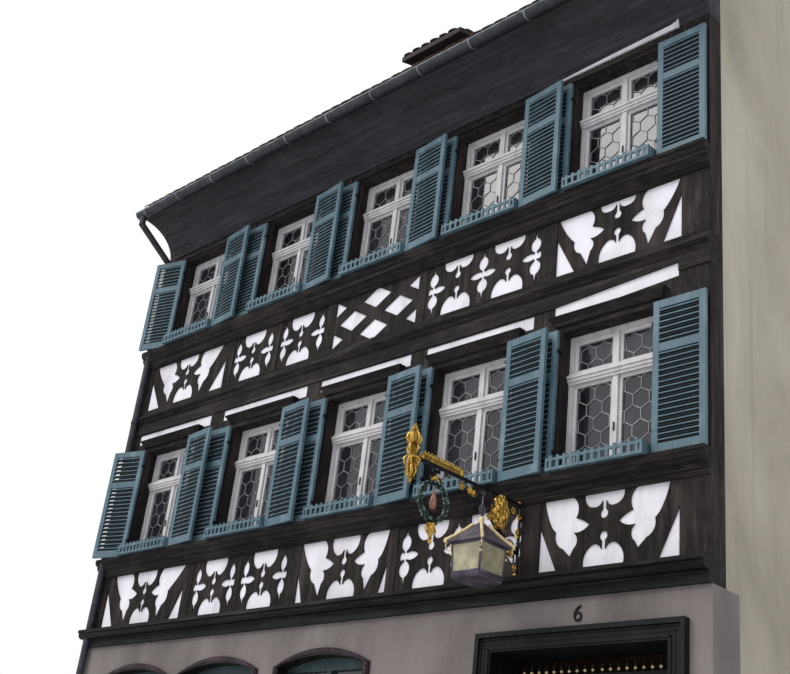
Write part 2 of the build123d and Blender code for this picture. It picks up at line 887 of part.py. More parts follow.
# Shutters: left leaves lie flat on the piers, right leaves lap over their neighbours
def shutter_leaf(height, out, turn):
    """One leaf with its two hooks, hinge edge at X = 0, back face at Y = 0, wall at Y = out."""
    rail_z = height * shutter_rail_share
    board = Box(shutter_width, shutter_thickness, height)
    leaf = Pos(shutter_width / 2, -shutter_thickness / 2, height / 2) * board
    inner = shutter_width - 2 * shutter_stile
    fields = ((shutter_foot, rail_z - shutter_rail / 2), (rail_z + shutter_rail / 2, height - shutter_head))
    for bottom, top in fields:
        middle_z = (bottom + top) / 2
        for y in (-shutter_thickness + shutter_field / 2, -shutter_field / 2):
            leaf -= Pos(shutter_width / 2, y, middle_z) * Box(inner, shutter_field, top - bottom)
    leaf = Rot(0, 0, -turn) * leaf
    for share in (0.15, 0.85):
        leaf += Pos(-8, (out - shutter_thickness) / 2, height * share) * Box(26, out + shutter_thickness, 40)
    return leaf


def storey_shutters(sill, height):
    """Leaves of a storey: flat on the piers, lapping over them, held off by the pipe, flat at the end."""
    z = sill + shutter_gap
    flat = shutter_leaf(height, under_shutter_out, 0)
    lapping = shutter_leaf(height, over_shutter_out, over_shutter_turn)
    held_off = shutter_leaf(height, under_shutter_out, loose_shutter_turn)
    half = window_width / 2
    left_flat = mirror(flat, about=Plane.YZ)
    left_held_off = mirror(held_off, about=Plane.YZ)
    leaves = [left_flat.moved(Location((x - half, -under_shutter_out, z))) for x in window_centres[1:]]
    leaves += [lapping.moved(Location((x + half, -over_shutter_out, z))) for x in window_centres[:-1]]
    leaves += [left_held_off.moved(Location((window_centres[0] - half, -under_shutter_out, z)))]
    leaves += [flat.moved(Location((window_centres[-1] + half, -under_shutter_out, z)))]
    return leaves


first_leaves = storey_shutters(first_sill, first_window_height)
with BuildPart() as first_shutters:
    add(first_leaves)
save(first_shutters.part, "first_shutters")

second_leaves = storey_shutters(second_sill, second_window_height)
with BuildPart() as second_shutters:
    add(second_leaves)
save(second_shutters.part, "second_shutters")

# Flower box rails on the sills: a shelf, two ends and a picket front
picket_pitch = 75
picket_width = 30
picket_count = int((box_length - 60) / picket_pitch) + 1
with BuildPart() as flower_rail:
    box_between(-box_length / 2, box_length / 2, -box_out, 0, 0, box_board)
    for side in (-1, 1):
        edge = side * (box_length - box_board) / 2
        box_between(edge - box_board / 2, edge + box_board / 2, -box_out, 0, 0, box_height - 14)
    with BuildSketch(Plane.XZ.offset(box_out - box_board)):
        with Locations((0, box_height / 2)):
            with GridLocations(picket_pitch, 1, picket_count, 1):
                Rectangle(picket_width, box_height)
        with Locations((0, box_height - 34)):
            Rectangle(box_length, 26)
        with Locations((0, 13)):
            Rectangle(box_length, 26)
    extrude(amount=box_board)

rail_places = [(x, 0, sill) for sill in (first_sill, second_sill) for x in window_centres]
with BuildPart() as flower_rails:
    with Locations(*rail_places):
        add(flower_rail.part)
save(flower_rails.part, "flower_rails")

# Eaves: coved soffit and its board, at the front and at the rear
with BuildPart() as eaves_cove:
    with BuildSketch(Plane.YZ.offset(-half_width)):
        with BuildLine():
            EllipticalCenterArc((-cove_reach, wall_top), cove_reach, cove_top - wall_top, arc_size=90)
            EllipticalCenterArc(
                (-cove_reach, wall_top),
                cove_reach + cove_board,
                cove_top - wall_top + cove_board,
                arc_size=90,
            )
            Line((0, wall_top), (cove_board, wall_top))
            Line((-cove_reach, cove_top), (-cove_reach, cove_top + cove_board))
        make_face()
    extrude(amount=house_width)
    box_between(
        -half_width,
        half_width,
        -cove_reach - eave_board,
        -cove_reach,
        cove_top - 20,
        cove_top + cove_board,
    )
    with BuildSketch(Plane.YZ.offset(-half_width), Plane.YZ.offset(half_width - eave_end)):
        with BuildLine():
            Polyline(
                (-cove_reach, cove_top + cove_board),
                (timber_wall, roof_under(timber_wall)),
                (timber_wall, wall_top),
                (cove_board, wall_top),
            )
            EllipticalCenterArc(
                (-cove_reach, wall_top),
                cove_reach + cove_board,
                cove_top - wall_top + cove_board,
                arc_size=90,
            )
        make_face()
    extrude(amount=eave_end)
    add(mirror(eaves_cove.part, about=Plane.XZ.offset(-house_depth / 2)))
save(eaves_cove.part, "eaves_cove")

# Half round gutters on the eaves boards
gutter_y = -cove_reach - eave_board - gutter_radius
with BuildPart() as gutters:
    with BuildSketch(Plane.YZ.offset(-half_width)):
        with Locations((gutter_y, gutter_level)):
            Circle(gutter_radius)
            Circle(gutter_radius - gutter_wall, mode=Mode.SUBTRACT)
        with Locations((gutter_y, gutter_level + gutter_radius)):
            Rectangle(4 * gutter_radius, 2 * gutter_radius, mode=Mode.SUBTRACT)
    extrude(amount=house_width)
    add(mirror(gutters.part, about=Plane.XZ.offset(-house_depth / 2)))
save(gutters.part, "gutters")

# Downpipe at the left edge of the front, with its swan neck under the cove
pipe_top = gutter_level - gutter_radius
pipe_straps = (1400, arch_spring - 90, cornice_top + 400, beam_bottom - 190, second_panel_bottom + 310)
with BuildPart() as downpipe:
    with BuildLine() as pipe_line:
        Polyline(
            (pipe_x, gutter_y, pipe_top),
            (pipe_x, gutter_y, pipe_top - 110),
            (pipe_x, pipe_y, wall_top - 120),
            (pipe_x, pipe_y, 0),
        )
    with BuildSketch(Plane.XY.offset(pipe_top)):
        with Locations((pipe_x, gutter_y)):
            Circle(pipe_radius)
    sweep(transition=Transition.RIGHT)
    for level in pipe_straps:
        box_between(pipe_x - 12, pipe_x + 12, pipe_y + pipe_radius - 6, 0, level, level + 30)
save(downpipe.part, "downpipe")

def roof_over(y):
    """Height of the tiles over a point on the depth of the house."""
    return roof_under(y) + roof_drop


# Shed dormer in the front slope
dormer_left, dormer_right = across(-1240), across(-245)
dormer_y = 1350
dormer_wall = 80
dormer_eave_y = 1200
dormer_eave_z = roof_over(dormer_eave_y) + 555
dormer_rise = 0.3153
dormer_board = 80
dormer_overhang = 65
dormer_window_width = 620
dormer_window_bottom = dormer_eave_z - 280
dormer_window_top = dormer_eave_z - 30


def dormer_under(y):
    """Height of the underside of the dormer's roof."""
    return dormer_eave_z + (y - dormer_eave_y) * dormer_rise


roof_rise = roof_over(1) - roof_over(0)
meet_y = (dormer_under(0) - roof_over(0)) / (roof_rise - dormer_rise)
meet_top_y = (dormer_under(0) + dormer_board - roof_over(0)) / (roof_rise - dormer_rise)

# Roof slopes
y_eave = -cove_reach
slope_outline = (
    (y_eave, roof_under(y_eave)),
    (house_depth / 2, ridge_under),
    (house_depth / 2, ridge_top),
    (y_eave - 60, roof_under(y_eave) - 60 + roof_drop),
    (y_eave - 60, roof_under(y_eave) + roof_drop - 130),
)
with BuildPart() as roof_front:
    with BuildSketch(Plane.YZ.offset(-half_width)):
        Polygon(*slope_outline, align=None)
    extrude(amount=house_width)
    cut_between(
        dormer_left + dormer_wall,
        dormer_right - dormer_wall,
        dormer_y + dormer_wall,
        meet_y - 40,
        roof_under(dormer_y),
        roof_over(meet_y),
    )
save(roof_front.part, "roof_front")

with BuildPart() as rear_slope:
    with BuildSketch(Plane.YZ.offset(-half_width)):
        Polygon(*slope_outline, align=None)
    extrude(amount=house_width)
with BuildPart() as roof_rear:
    add(mirror(rear_slope.part, about=Plane.XZ.offset(-house_depth / 2)))
save(roof_rear.part, "roof_rear")

# Ridge tiles lie on both slopes
ridge_half = 150
middle_y = house_depth / 2
with BuildPart() as ridge_tiles:
    with BuildSketch(Plane.YZ.offset(-half_width)):
        with BuildLine():
            Polyline(
                (middle_y - ridge_half, ridge_top - ridge_half + 30),
                (middle_y - ridge_half, ridge_top - ridge_half),
                (middle_y, ridge_top),
                (middle_y + ridge_half, ridge_top - ridge_half),
                (middle_y + ridge_half, ridge_top - ridge_half + 30),
            )
            ThreePointArc(
                (middle_y - ridge_half, ridge_top - ridge_half + 30),
                (middle_y, ridge_top + 42),
                (middle_y + ridge_half, ridge_top - ridge_half + 30),
            )
        make_face()
    extrude(amount=house_width)
save(ridge_tiles.part, "ridge_tiles")

# Dormer cheeks and front, standing on the tiles, with one window
cheek_outline = (
    (dormer_y, roof_over(dormer_y)),
    (meet_y, roof_over(meet_y)),
    (dormer_y, dormer_under(dormer_y)),
)
front_outline = (
    (dormer_y, roof_over(dormer_y)),
    (dormer_y + dormer_wall, roof_over(dormer_y + dormer_wall)),
    (dormer_y + dormer_wall, dormer_under(dormer_y + dormer_wall)),
    (dormer_y, dormer_under(dormer_y)),
)
dormer_centre = (dormer_left + dormer_right) / 2
dormer_pane_left = dormer_centre - dormer_window_width / 2
dormer_pane_right = dormer_centre + dormer_window_width / 2
with BuildPart() as dormer_walls:
    with BuildSketch(Plane.YZ.offset(dormer_left)):
        Polygon(*front_outline, align=None)
    extrude(amount=dormer_right - dormer_left)
    with BuildSketch(Plane.YZ.offset(dormer_left), Plane.YZ.offset(dormer_right - dormer_wall)):
        Polygon(*cheek_outline, align=None)
    extrude(amount=dormer_wall)
    cut_between(
        dormer_pane_left,
        dormer_pane_right,
        dormer_y,
        dormer_y + dormer_wall,
        dormer_window_bottom,
        dormer_window_top,
    )
save(dormer_walls.part, "dormer_walls")

with BuildPart() as dormer_window:
    box_between(
        dormer_pane_left,
        dormer_pane_right,
        dormer_y + 20,
        dormer_y + 60,
        dormer_window_bottom,
        dormer_window_top,
    )
    for side in (-1, 1):
        x = dormer_centre + side * dormer_window_width / 4
        reach = dormer_window_width / 4 - 34
        cut_between(
            x - reach,
            x + reach,
            dormer_y + 20,
            dormer_y + 60,
            dormer_window_bottom + 40,
            dormer_window_top - 40,
        )
save(dormer_window.part, "dormer_window")

dormer_roof_outline = (
    (dormer_eave_y, dormer_under(dormer_eave_y)),
    (meet_y, roof_over(meet_y)),
    (meet_top_y, roof_over(meet_top_y)),
    (dormer_eave_y, dormer_under(dormer_eave_y) + dormer_board),
)
with BuildPart() as dormer_roof:
    with BuildSketch(Plane.YZ.offset(dormer_left - dormer_overhang)):
        Polygon(*dormer_roof_outline, align=None)
    extrude(amount=dormer_right - dormer_left + 2 * dormer_overhang)
save(dormer_roof.part, "dormer_roof")

# Wrought iron bracket: wall bar, arm square to the front, scroll strut, hanging pins
sill_face = 22
bar_board = 14
bar_half = 12
bar_bottom = cornice_top + 22
bar_top = first_panel_top + 32
arm_half = arm_size / 2
wreath_out = 1160
lantern_out = 540
pin_level = arm_level - 42
pin_radius = 6
pin_clearance = 0.05
pin_half = 42
lug = 10
bar_face = -sill_face - bar_board
strut_foot = arm_level - 465
with BuildPart() as sign_bracket:
    box_between(sign_x - bar_half, sign_x + bar_half, bar_face, -sill_face, bar_bottom, bar_top)
    box_between(sign_x - bar_half, sign_x + bar_half, bar_face, 0, bar_bottom, bar_bottom + 24)
    box_between(
        sign_x - arm_half,
        sign_x + arm_half,
        -arm_length,
        bar_face,
        arm_level - arm_half,
        arm_level + arm_half,
    )
    for out in (wreath_out, lantern_out):
        for y in (-out - pin_half, -out + pin_half - lug):
            box_between(sign_x - 11, sign_x + 11, y, y + lug, pin_level - 11, arm_level - arm_half)
        with Locations(Location((sign_x, -out, pin_level), (90, 0, 0))):
            Cylinder(pin_radius, 2 * pin_half)
    with BuildSketch(Plane.YZ.offset(sign_x - 6)):
        with BuildLine():
            lower_curve = ThreePointArc(
                (bar_face, strut_foot), (-290, strut_foot + 140), (-420, arm_level - arm_half)
            )
            upper_end = Line(lower_curve @ 1, (-400, arm_level - arm_half))
            upper_curve = ThreePointArc(
                upper_end @ 1, (-275, strut_foot + 154), (bar_face, strut_foot + 22)
            )
            Line(upper_curve @ 1, lower_curve @ 0)
        make_face()
    extrude(amount=12)
save(sign_bracket.part, "sign_bracket")

# Gilded pieces of the bracket: toothed comb on the arm, double bud at its end
comb_teeth = 12
comb_pitch = 40
comb_start = 850
comb_board = 46
comb_tooth = 34
bud_half = 48
bud_out = arm_length + 40
comb_bottom = arm_level + arm_half
with BuildPart() as sign_gilding:
    with BuildSketch(Plane.YZ.offset(sign_x - 7)):
        for number in range(comb_teeth):
            y = -comb_start - number * comb_pitch
            Polygon(
                (y, comb_bottom + comb_board),
                (y - comb_pitch / 2, comb_bottom + comb_board + comb_tooth),
                (y - comb_pitch, comb_bottom + comb_board),
                align=None,
            )
        with Locations((-comb_start - comb_teeth * comb_pitch / 2, comb_bottom + comb_board / 2)):
            Rectangle(comb_teeth * comb_pitch, comb_board)
    extrude(amount=14)
    with BuildSketch(Plane.YZ.offset(sign_x - 8)):
        for foot, tip in ((arm_level + 40, arm_level + 290), (arm_level + 30, arm_level - 225)):
            with BuildLine():
                for side in (-1, 1):
                    ThreePointArc(
                        (-bud_out + side * bud_half * 0.4, foot),
                        (-bud_out + side * bud_half, foot + (tip - foot) * 0.38),
                        (-bud_out, tip),
                    )
                Line((-bud_out - bud_half * 0.4, foot), (-bud_out + bud_half * 0.4, foot))
            make_face()
        with Locations((-bud_out, arm_level + 30)):
            Rectangle(80, 90)
    extrude(amount=16)
save(sign_gilding.part, "sign_gilding")

# Sunflower between the strut and the arm
sun_out = 300
sun_level = arm_level - 150
sun_radius = 120
sun_petals = 16
with BuildPart() as sign_sunflower:
    with BuildSketch(Plane.YZ.offset(sign_x + 6)):
        petal_points = []
        for number in range(2 * sun_petals):
            reach = sun_radius if number % 2 == 0 else sun_radius * 0.76
            direction = Vector(reach, 0).rotate(Axis.Z, number * 180 / sun_petals)
            petal_points.append((-sun_out + direction.X, sun_level + direction.Y))
        Polygon(*petal_points, align=None)
    extrude(amount=10)
save(sign_sunflower.part, "sign_sunflower")

# Wreath hanging from the arm by an eye on a pin, with a plate and a pendant below
wreath_level = pin_level - 268
wreath_ring = 190
wreath_hole = 128
wreath_half = 30
wreath_sides = 20
eye_radius = 15
eye_half = pin_half - lug - 6
with BuildPart() as sign_wreath:
    with BuildSketch(Plane.YZ.offset(sign_x - wreath_half)):
        with Locations((-wreath_out, wreath_level)):
            RegularPolygon(wreath_ring, wreath_sides)
            RegularPolygon(wreath_hole, wreath_sides, mode=Mode.SUBTRACT)
    extrude(amount=2 * wreath_half)
    with Locations(Location((sign_x, -wreath_out, pin_level), (90, 0, 0))):
        Cylinder(eye_radius, 2 * eye_half)
    box_between(
        sign_x - 5,
        sign_x + 5,
        -wreath_out - 8,
        -wreath_out + 8,
        wreath_level + wreath_hole + 20,
        pin_level - 8,
    )
    with Locations(Location((sign_x, -wreath_out, pin_level), (90, 0, 0))):
        Cylinder(pin_radius + pin_clearance, 2 * pin_half, mode=Mode.SUBTRACT)
    box_between(
        sign_x - 9,
        sign_x + 9,
        -wreath_out - 62,
        -wreath_out + 62,
        wreath_level - wreath_ring - 45,
        wreath_level - wreath_hole + 60,
    )
    with BuildSketch(Plane.YZ.offset(sign_x - 8)):
        Polygon(
            (-wreath_out - 40, wreath_level - wreath_ring - 40),
            (-wreath_out + 40, wreath_level - wreath_ring - 40),
            (-wreath_out + 26, wreath_level - wreath_ring - 90),
            (-wreath_out, wreath_level - wreath_ring - 165),
            (-wreath_out - 26, wreath_level - wreath_ring - 90),
            align=None,
        )
    extrude(amount=16)
save(sign_wreath.part, "sign_wreath")

# Lantern hanging from the arm: hipped roof, tapered panes, tray
lantern_apex = pin_level - 280
lantern_top = lantern_apex - 172
lantern_height = 300
lantern_bottom = lantern_top - lantern_height
lantern_top_half = 178
lantern_taper = 8.5
lantern_eave = 16
lantern_eave_half = 232
lantern_hip = 49.5
with BuildPart() as lantern_panes:
    with BuildSketch(Plane.XY.offset(lantern_top)):
        with Locations((sign_x, -lantern_out)):
            Rectangle(2 * lantern_top_half, 2 * lantern_top_half)
    extrude(amount=-lantern_height, taper=lantern_taper)
save(lantern_panes.part, "lantern_panes")

tray_half = lantern_top_half - 30
with BuildPart() as sign_lantern:
    with BuildSketch(Plane.XY.offset(lantern_top)):
        with Locations((sign_x, -lantern_out)):
            Rectangle(2 * lantern_eave_half, 2 * lantern_eave_half)
    extrude(amount=lantern_eave)
    with BuildSketch(Plane.XY.offset(lantern_top + lantern_eave)):
        with Locations((sign_x, -lantern_out)):
            Rectangle(2 * lantern_eave_half, 2 * lantern_eave_half)
    extrude(amount=lantern_apex - lantern_top - lantern_eave, taper=lantern_hip)
    box_between(
        sign_x - tray_half,
        sign_x + tray_half,
        -lantern_out - tray_half,
        -lantern_out + tray_half,
        lantern_bottom - 22,
        lantern_bottom,
    )
    box_between(
        sign_x - 6, sign_x + 6, -lantern_out - 8, -lantern_out + 8, lantern_apex - 20, pin_level - 8
    )
    with Locations(Location((sign_x, -lantern_out, pin_level), (90, 0, 0))):
        Cylinder(eye_radius, 2 * eye_half)
        Cylinder(pin_radius + pin_clearance, 2 * pin_half, mode=Mode.SUBTRACT)
save(sign_lantern.part, "sign_lantern")
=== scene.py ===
import json
import random
from math import asin, atan, cos, pi, radians, sin, sqrt

import bpy
from mathutils import Matrix, Vector


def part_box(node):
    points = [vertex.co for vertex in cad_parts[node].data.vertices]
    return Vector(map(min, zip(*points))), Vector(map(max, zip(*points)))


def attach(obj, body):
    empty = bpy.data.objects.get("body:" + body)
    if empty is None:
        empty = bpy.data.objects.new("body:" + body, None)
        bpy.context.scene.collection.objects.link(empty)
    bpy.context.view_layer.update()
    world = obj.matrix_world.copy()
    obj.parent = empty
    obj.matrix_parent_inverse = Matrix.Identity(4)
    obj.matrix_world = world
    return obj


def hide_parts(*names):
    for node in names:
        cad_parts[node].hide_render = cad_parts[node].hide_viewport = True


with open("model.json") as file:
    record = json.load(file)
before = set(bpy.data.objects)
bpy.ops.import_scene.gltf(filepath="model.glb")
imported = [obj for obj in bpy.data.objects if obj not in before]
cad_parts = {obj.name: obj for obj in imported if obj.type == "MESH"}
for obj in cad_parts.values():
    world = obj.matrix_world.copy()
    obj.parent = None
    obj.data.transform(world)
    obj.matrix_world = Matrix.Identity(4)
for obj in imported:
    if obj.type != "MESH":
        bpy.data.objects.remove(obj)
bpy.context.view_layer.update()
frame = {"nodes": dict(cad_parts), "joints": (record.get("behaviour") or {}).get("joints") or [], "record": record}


# Sizes and places are in metres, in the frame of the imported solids: X to the right seen from the
# street, Z up, the street at Z = 0. The driving ones are read from the solids themselves.
def span(node, axis):
    """Lowest and highest place of a solid along one axis, to a tenth of a millimetre."""
    index = "XYZ".index(axis)
    low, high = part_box(node)
    return round(low[index], 4), round(high[index], 4)


FRONT = span("first_wall", "Y")[0]
REAR = span("rear_wall", "Y")[1]
HALF = span("cornice_beam", "X")[1]
CORNICE_TOP = span("cornice_beam", "Z")[1]
BEAM_TOP = span("middle_beam", "Z")[1]
WALL_TOP = span("second_wall", "Z")[1]
FIRST_SILL, FIRST_HEAD = span("first_window_frames", "Z")
SECOND_SILL, SECOND_HEAD = span("second_window_frames", "Z")
STOREYS = (("first", FIRST_SILL, FIRST_HEAD), ("second", SECOND_SILL, SECOND_HEAD))
PARAPETS = ((CORNICE_TOP, *span("first_fretwork", "Z")), (BEAM_TOP, *span("second_fretwork", "Z")))
GLASS_Y = span("first_window_frames", "Y")[1]
WINDOWS, WINDOW_W = (-3.41, -1.59, 0.14, 1.77, 3.39), 1.05
PINS = {joint["child"]: joint["pos_m"] for joint in frame["joints"]}
SIGN_X, WREATH_Y, PIN_Z = PINS["wreath"]
LANTERN_Y = PINS["lantern"][1]
WORN_EDGE = 0.002
dice = random.Random(11)
SCENE = bpy.context.scene


# Materials
def linear(colour):
    """Linear colour from 0..255 display values, with an alpha of 1."""
    shares = (c / 255 for c in colour)
    return (*(c / 12.92 if c <= 0.04045 else ((c + 0.055) / 1.055) ** 2.4 for c in shares), 1)


class Graph:
    """A node tree, with short ways to add the nodes and patterns used here."""

    def __init__(self, tree):
        self.tree = tree
        tree.nodes.clear()

    def add(self, kind, values=None):
        """Adds a node; values holds what goes into its inputs, plain values or other nodes' outputs."""
        node = self.tree.nodes.new("ShaderNode" + kind)
        self.fill(node, values or {})
        return node

    def fill(self, node, values):
        for name, value in values.items():
            if isinstance(value, bpy.types.NodeSocket):
                self.tree.links.new(value, node.inputs[name])
            else:
                node.inputs[name].default_value = value

    def set(self, name, value):
        self.fill(self.shader, {name: value})

    def skin(self, colour, rough):
        self.set("Base Color", colour)
        self.set("Roughness", rough)

    def scaled(self, *scale):
        return self.add("Mapping", {"Vector": self.coords, "Scale": scale}).outputs[0]

    def noise(self, vector, scale, detail=6, rough=0.6, distortion=0.0):
        values = {"Vector": vector, "Scale": scale, "Detail": detail, "Roughness": rough}
        return self.add("TexNoise", {**values, "Distortion": distortion}).outputs["Fac"]

    def ramp(self, fac, stops):
        node = self.add("ValToRGB", {0: fac})
        elements = node.color_ramp.elements
        while len(elements) < len(stops):
            elements.new(0.5)
        for element, (place, colour) in zip(elements, stops):
            element.position = place
            element.color = linear(colour)
        return node.outputs[0]

    def span(self, fac, low, high, to_low, to_high):
        values = {"Value": fac, "From Min": low, "From Max": high, "To Min": to_low, "To Max": to_high}
        return self.add("MapRange", values).outputs[0]

    def mix(self, fac, under, colour):
        node = self.add("Mix")
        node.data_type = "RGBA"
        self.fill(node, {0: fac, 6: under, 7: linear(colour)})
        return node.outputs[2]

    def bump(self, height, strength, distance):
        node = self.add("Bump", {"Height": height, "Strength": strength, "Distance": distance})
        self.set("Normal", node.outputs[0])


def graph(name):
    """A material's node tree with its shader and object coordinates."""
    material = bpy.data.materials.new(name)
    material.use_nodes = True
    g = Graph(material.node_tree)
    g.material = material
    g.shader = g.add("BsdfPrincipled")
    g.add("OutputMaterial", {"Surface": g.shader.outputs[0]})
    g.coords = g.add("TexCoord").outputs["Object"]
    return g


def wood(name, dark, mid, light, grain=(1, 1, 1), rough=0.75, bump=0.35):
    """Weathered wood: long grain, the marks of the axe, blotches of wear and fine cracks."""
    g = graph(name)
    fibres = g.noise(g.scaled(*grain), 9, 8, 0.65, 0.6)
    blotches = g.noise(g.coords, 1.7, 4, 0.6)
    tone = g.ramp(fibres, ((0.30, dark), (0.52, mid), (0.74, light)))
    short_grain = (1.0 if share == 1 else share * 2.5 for share in grain)
    hewn = g.noise(g.scaled(*short_grain), 30, 5, 0.62, 0.4)
    tone = g.mix(g.span(hewn, 0.54, 0.72, 0.0, 0.55), tone, light)
    tone = g.mix(g.span(hewn, 0.46, 0.30, 0.0, 0.7), tone, dark)
    tone = g.mix(g.span(blotches, 0.52, 0.70, 0.0, 0.45), tone, light)
    g.skin(tone, g.span(fibres, 0.3, 0.7, rough + 0.12, rough - 0.08))
    g.bump(hewn, bump, 0.009)
    g.set("Specular IOR Level", 0.2)
    return g.material


def plaster(name, low, mid, high, scale=2.2):
    """Lime plaster: soft stains, a fine tooth and a few darker runs."""
    g = graph(name)
    stains = g.noise(g.scaled(1, 1, 0.45), scale, 7, 0.62, 0.4)
    tooth = g.noise(g.coords, 85, 4, 0.6)
    runs = g.noise(g.scaled(7, 7, 0.35), 1.4, 5, 0.6)
    tone = g.ramp(stains, ((0.28, low), (0.50, mid), (0.72, high)))
    tone = g.mix(g.span(runs, 0.56, 0.75, 0.0, 0.35), tone, low)
    g.skin(tone, g.span(tooth, 0.3, 0.7, 0.82, 0.95))
    g.bump(tooth, 0.25, 0.004)
    return g.material


def paint(name, base, worn, dust, rough=0.5):
    """Old oil paint: uneven film, chalking and dust in patches."""
    g = graph(name)
    film = g.noise(g.scaled(1, 1, 0.5), 6, 6, 0.6, 0.3)
    fine = g.noise(g.coords, 60, 4, 0.6)
    tone = g.ramp(film, ((0.30, base), (0.55, worn), (0.80, dust)))
    tone = g.mix(g.span(fine, 0.60, 0.75, 0.0, 0.35), tone, dust)
    g.skin(tone, g.span(film, 0.3, 0.7, rough, rough + 0.22))
    g.bump(fine, 0.12, 0.002)
    return g.material


def metal(name, dark, light, metallic, rough, scale=7, bump=0.2):
    """Metal with a patchy skin."""
    g = graph(name)
    patches = g.noise(g.coords, scale, 7, 0.65, 0.5)
    fine = g.noise(g.coords, 70, 4, 0.6)
    tone = g.ramp(patches, ((0.32, dark), (0.68, light)))
    g.skin(tone, g.span(patches, 0.3, 0.7, rough + 0.15, rough))
    g.set("Metallic", metallic)
    g.bump(fine, bump, 0.002)
    return g.material


def burnt_clay(name, tones, dirt):
    """Roof tiles: every tile has a tone of its own, under patches of soot and lichen."""
    g = graph(name)
    own = g.add("NewGeometry").outputs["Random Per Island"]
    patches = g.noise(g.coords, 1.1, 6, 0.62, 0.3)
    skin = g.noise(g.coords, 34, 5, 0.6)
    tone = g.ramp(own, [(i / len(tones), tone) for i, tone in enumerate(tones)])
    tone = g.mix(g.span(patches, 0.42, 0.72, 0.0, 0.65), tone, dirt)
    tone = g.mix(g.span(skin, 0.55, 0.75, 0.0, 0.4), tone, dirt)
    g.skin(tone, g.span(skin, 0.3, 0.7, 0.78, 0.92))
    g.bump(skin, 0.35, 0.003)
    return g.material


def pane(name, low, high, rough, see_through, scale=1.3):
    """Old window glass: slightly wavy, dark behind, picking up the sky."""
    g = graph(name)
    waves = g.noise(g.coords, 3.2, 3, 0.5)
    patches = g.noise(g.scaled(1.4, 1, 1), scale, 4, 0.55)
    g.skin(g.ramp(patches, ((0.35, low), (0.70, high))), rough)
    g.set("Specular IOR Level", 0.9)
    g.set("Alpha", see_through)
    g.bump(waves, 0.06, 0.02)
    return g.material


UPRIGHT, LEVEL, SHORT = (1, 1, 0.08), (0.08, 1, 1), (1, 1, 0.1)
TIMBER = wood("timber", (20, 17, 16), (35, 30, 29), (72, 63, 60), UPRIGHT, 0.8, 0.6)
TIMBER_LONG = wood("timber_long", (18, 15, 15), (32, 28, 27), (70, 62, 60), LEVEL, 0.8, 0.6)
CORNICE = wood("cornice_wood", (9, 9, 8), (18, 17, 17), (48, 45, 47), LEVEL, 0.6)
DOOR_WOOD = wood("door_wood", (8, 9, 8), (15, 16, 15), (32, 32, 31), SHORT, 0.5)
COVE = wood("cove_boards", (42, 41, 45), (56, 55, 60), (76, 74, 79), LEVEL, 0.7, 0.25)
CASING = wood("casing_wood", (34, 25, 30), (50, 37, 44), (80, 63, 72), (1, 1, 0.2), 0.5)
FLOOR_WOOD = wood("floor_wood", (70, 50, 34), (104, 76, 52), (134, 102, 72), (1, 0.06, 1))
INFILL = plaster("infill", (205, 200, 206), (236, 232, 239), (248, 245, 251))
GROUND_PLASTER = plaster("ground_plaster", (94, 86, 84), (116, 108, 106), (136, 128, 125), 1.1)
PARTY_PLASTER = plaster("party_plaster", (140, 132, 118), (172, 163, 147), (192, 184, 168), 0.8)
REAR_PLASTER = plaster("rear_plaster", (150, 142, 128), (186, 178, 164), (206, 199, 186), 0.9)
STONE_FLOOR = plaster("stone_floor", (92, 88, 82), (116, 111, 104), (134, 130, 122), 3)
FRAME_PAINT = paint("frame_paint", (188, 185, 188), (212, 209, 210), (160, 156, 154), 0.42)
SHUTTER_PAINT = paint("shutter_paint", (64, 92, 104), (84, 110, 121), (122, 143, 152), 0.45)
# Louvre slats: dark teal-black painted shade of their undersides and of the gaps between them
SHUTTER_SHADE = paint("louvre_painted_shade", (9, 18, 21), (14, 26, 30), (28, 42, 46), 0.8)
ARCH_PAINT = paint("arch_frame_paint", (30, 46, 50), (42, 62, 66), (70, 96, 98), 0.45)
ZINC = metal("zinc", (36, 38, 43), (62, 65, 72), 0.2, 0.5)
BRIGHT_ZINC = metal("bright_zinc", (104, 112, 114), (168, 176, 178), 0.3, 0.45)
IRON = metal("iron", (16, 16, 18), (36, 36, 39), 0.6, 0.42)
LEAD = metal("lead", (112, 109, 112), (170, 167, 170), 0.3, 0.45)
GOLD = metal("gold_leaf", (104, 62, 14), (242, 200, 100), 0.85, 0.22, 24, 0.4)
PALE_GOLD = metal("pale_gold", (206, 178, 112), (246, 232, 190), 0.35, 0.3, 22)
VERDIGRIS = metal("verdigris", (18, 28, 26), (62, 88, 82), 0.3, 0.5, 26)
# Pale leaves of the wreath: painted highlights on the dark garland
VERDIGRIS_HIGHLIGHT = metal("verdigris_painted_highlight", (92, 122, 114), (164, 186, 178), 0.2, 0.5, 26)
COPPER = metal("old_copper", (104, 66, 56), (170, 124, 104), 0.4, 0.45, 20)
LANTERN_METAL = metal("lantern_metal", (62, 56, 68), (108, 99, 114), 0.4, 0.45)
# Darker copy of the clay tones and dirt for the dormer's tiles: painted shade of its dark side against the sky
DORMER_SHADED_TONES = ((34, 28, 28), (48, 38, 37), (42, 34, 34), (58, 46, 43))
SHADED_DORMER_TILE = burnt_clay("dormer_tile", DORMER_SHADED_TONES, (30, 28, 28))
CLAY_TONES = ((58, 42, 37), (84, 58, 48), (70, 50, 43), (104, 72, 58))
TILE = burnt_clay("roof_tile", CLAY_TONES, (48, 44, 40))
# The dark colour of the window panes is painted shade of the rooms behind them
WINDOW_GLASS = pane("window_glass", (24, 23, 27), (58, 56, 63), 0.05, 0.95)
LANTERN_GLASS = pane("lantern_glass", (132, 126, 98), (186, 178, 142), 0.3, 1.0, 7)

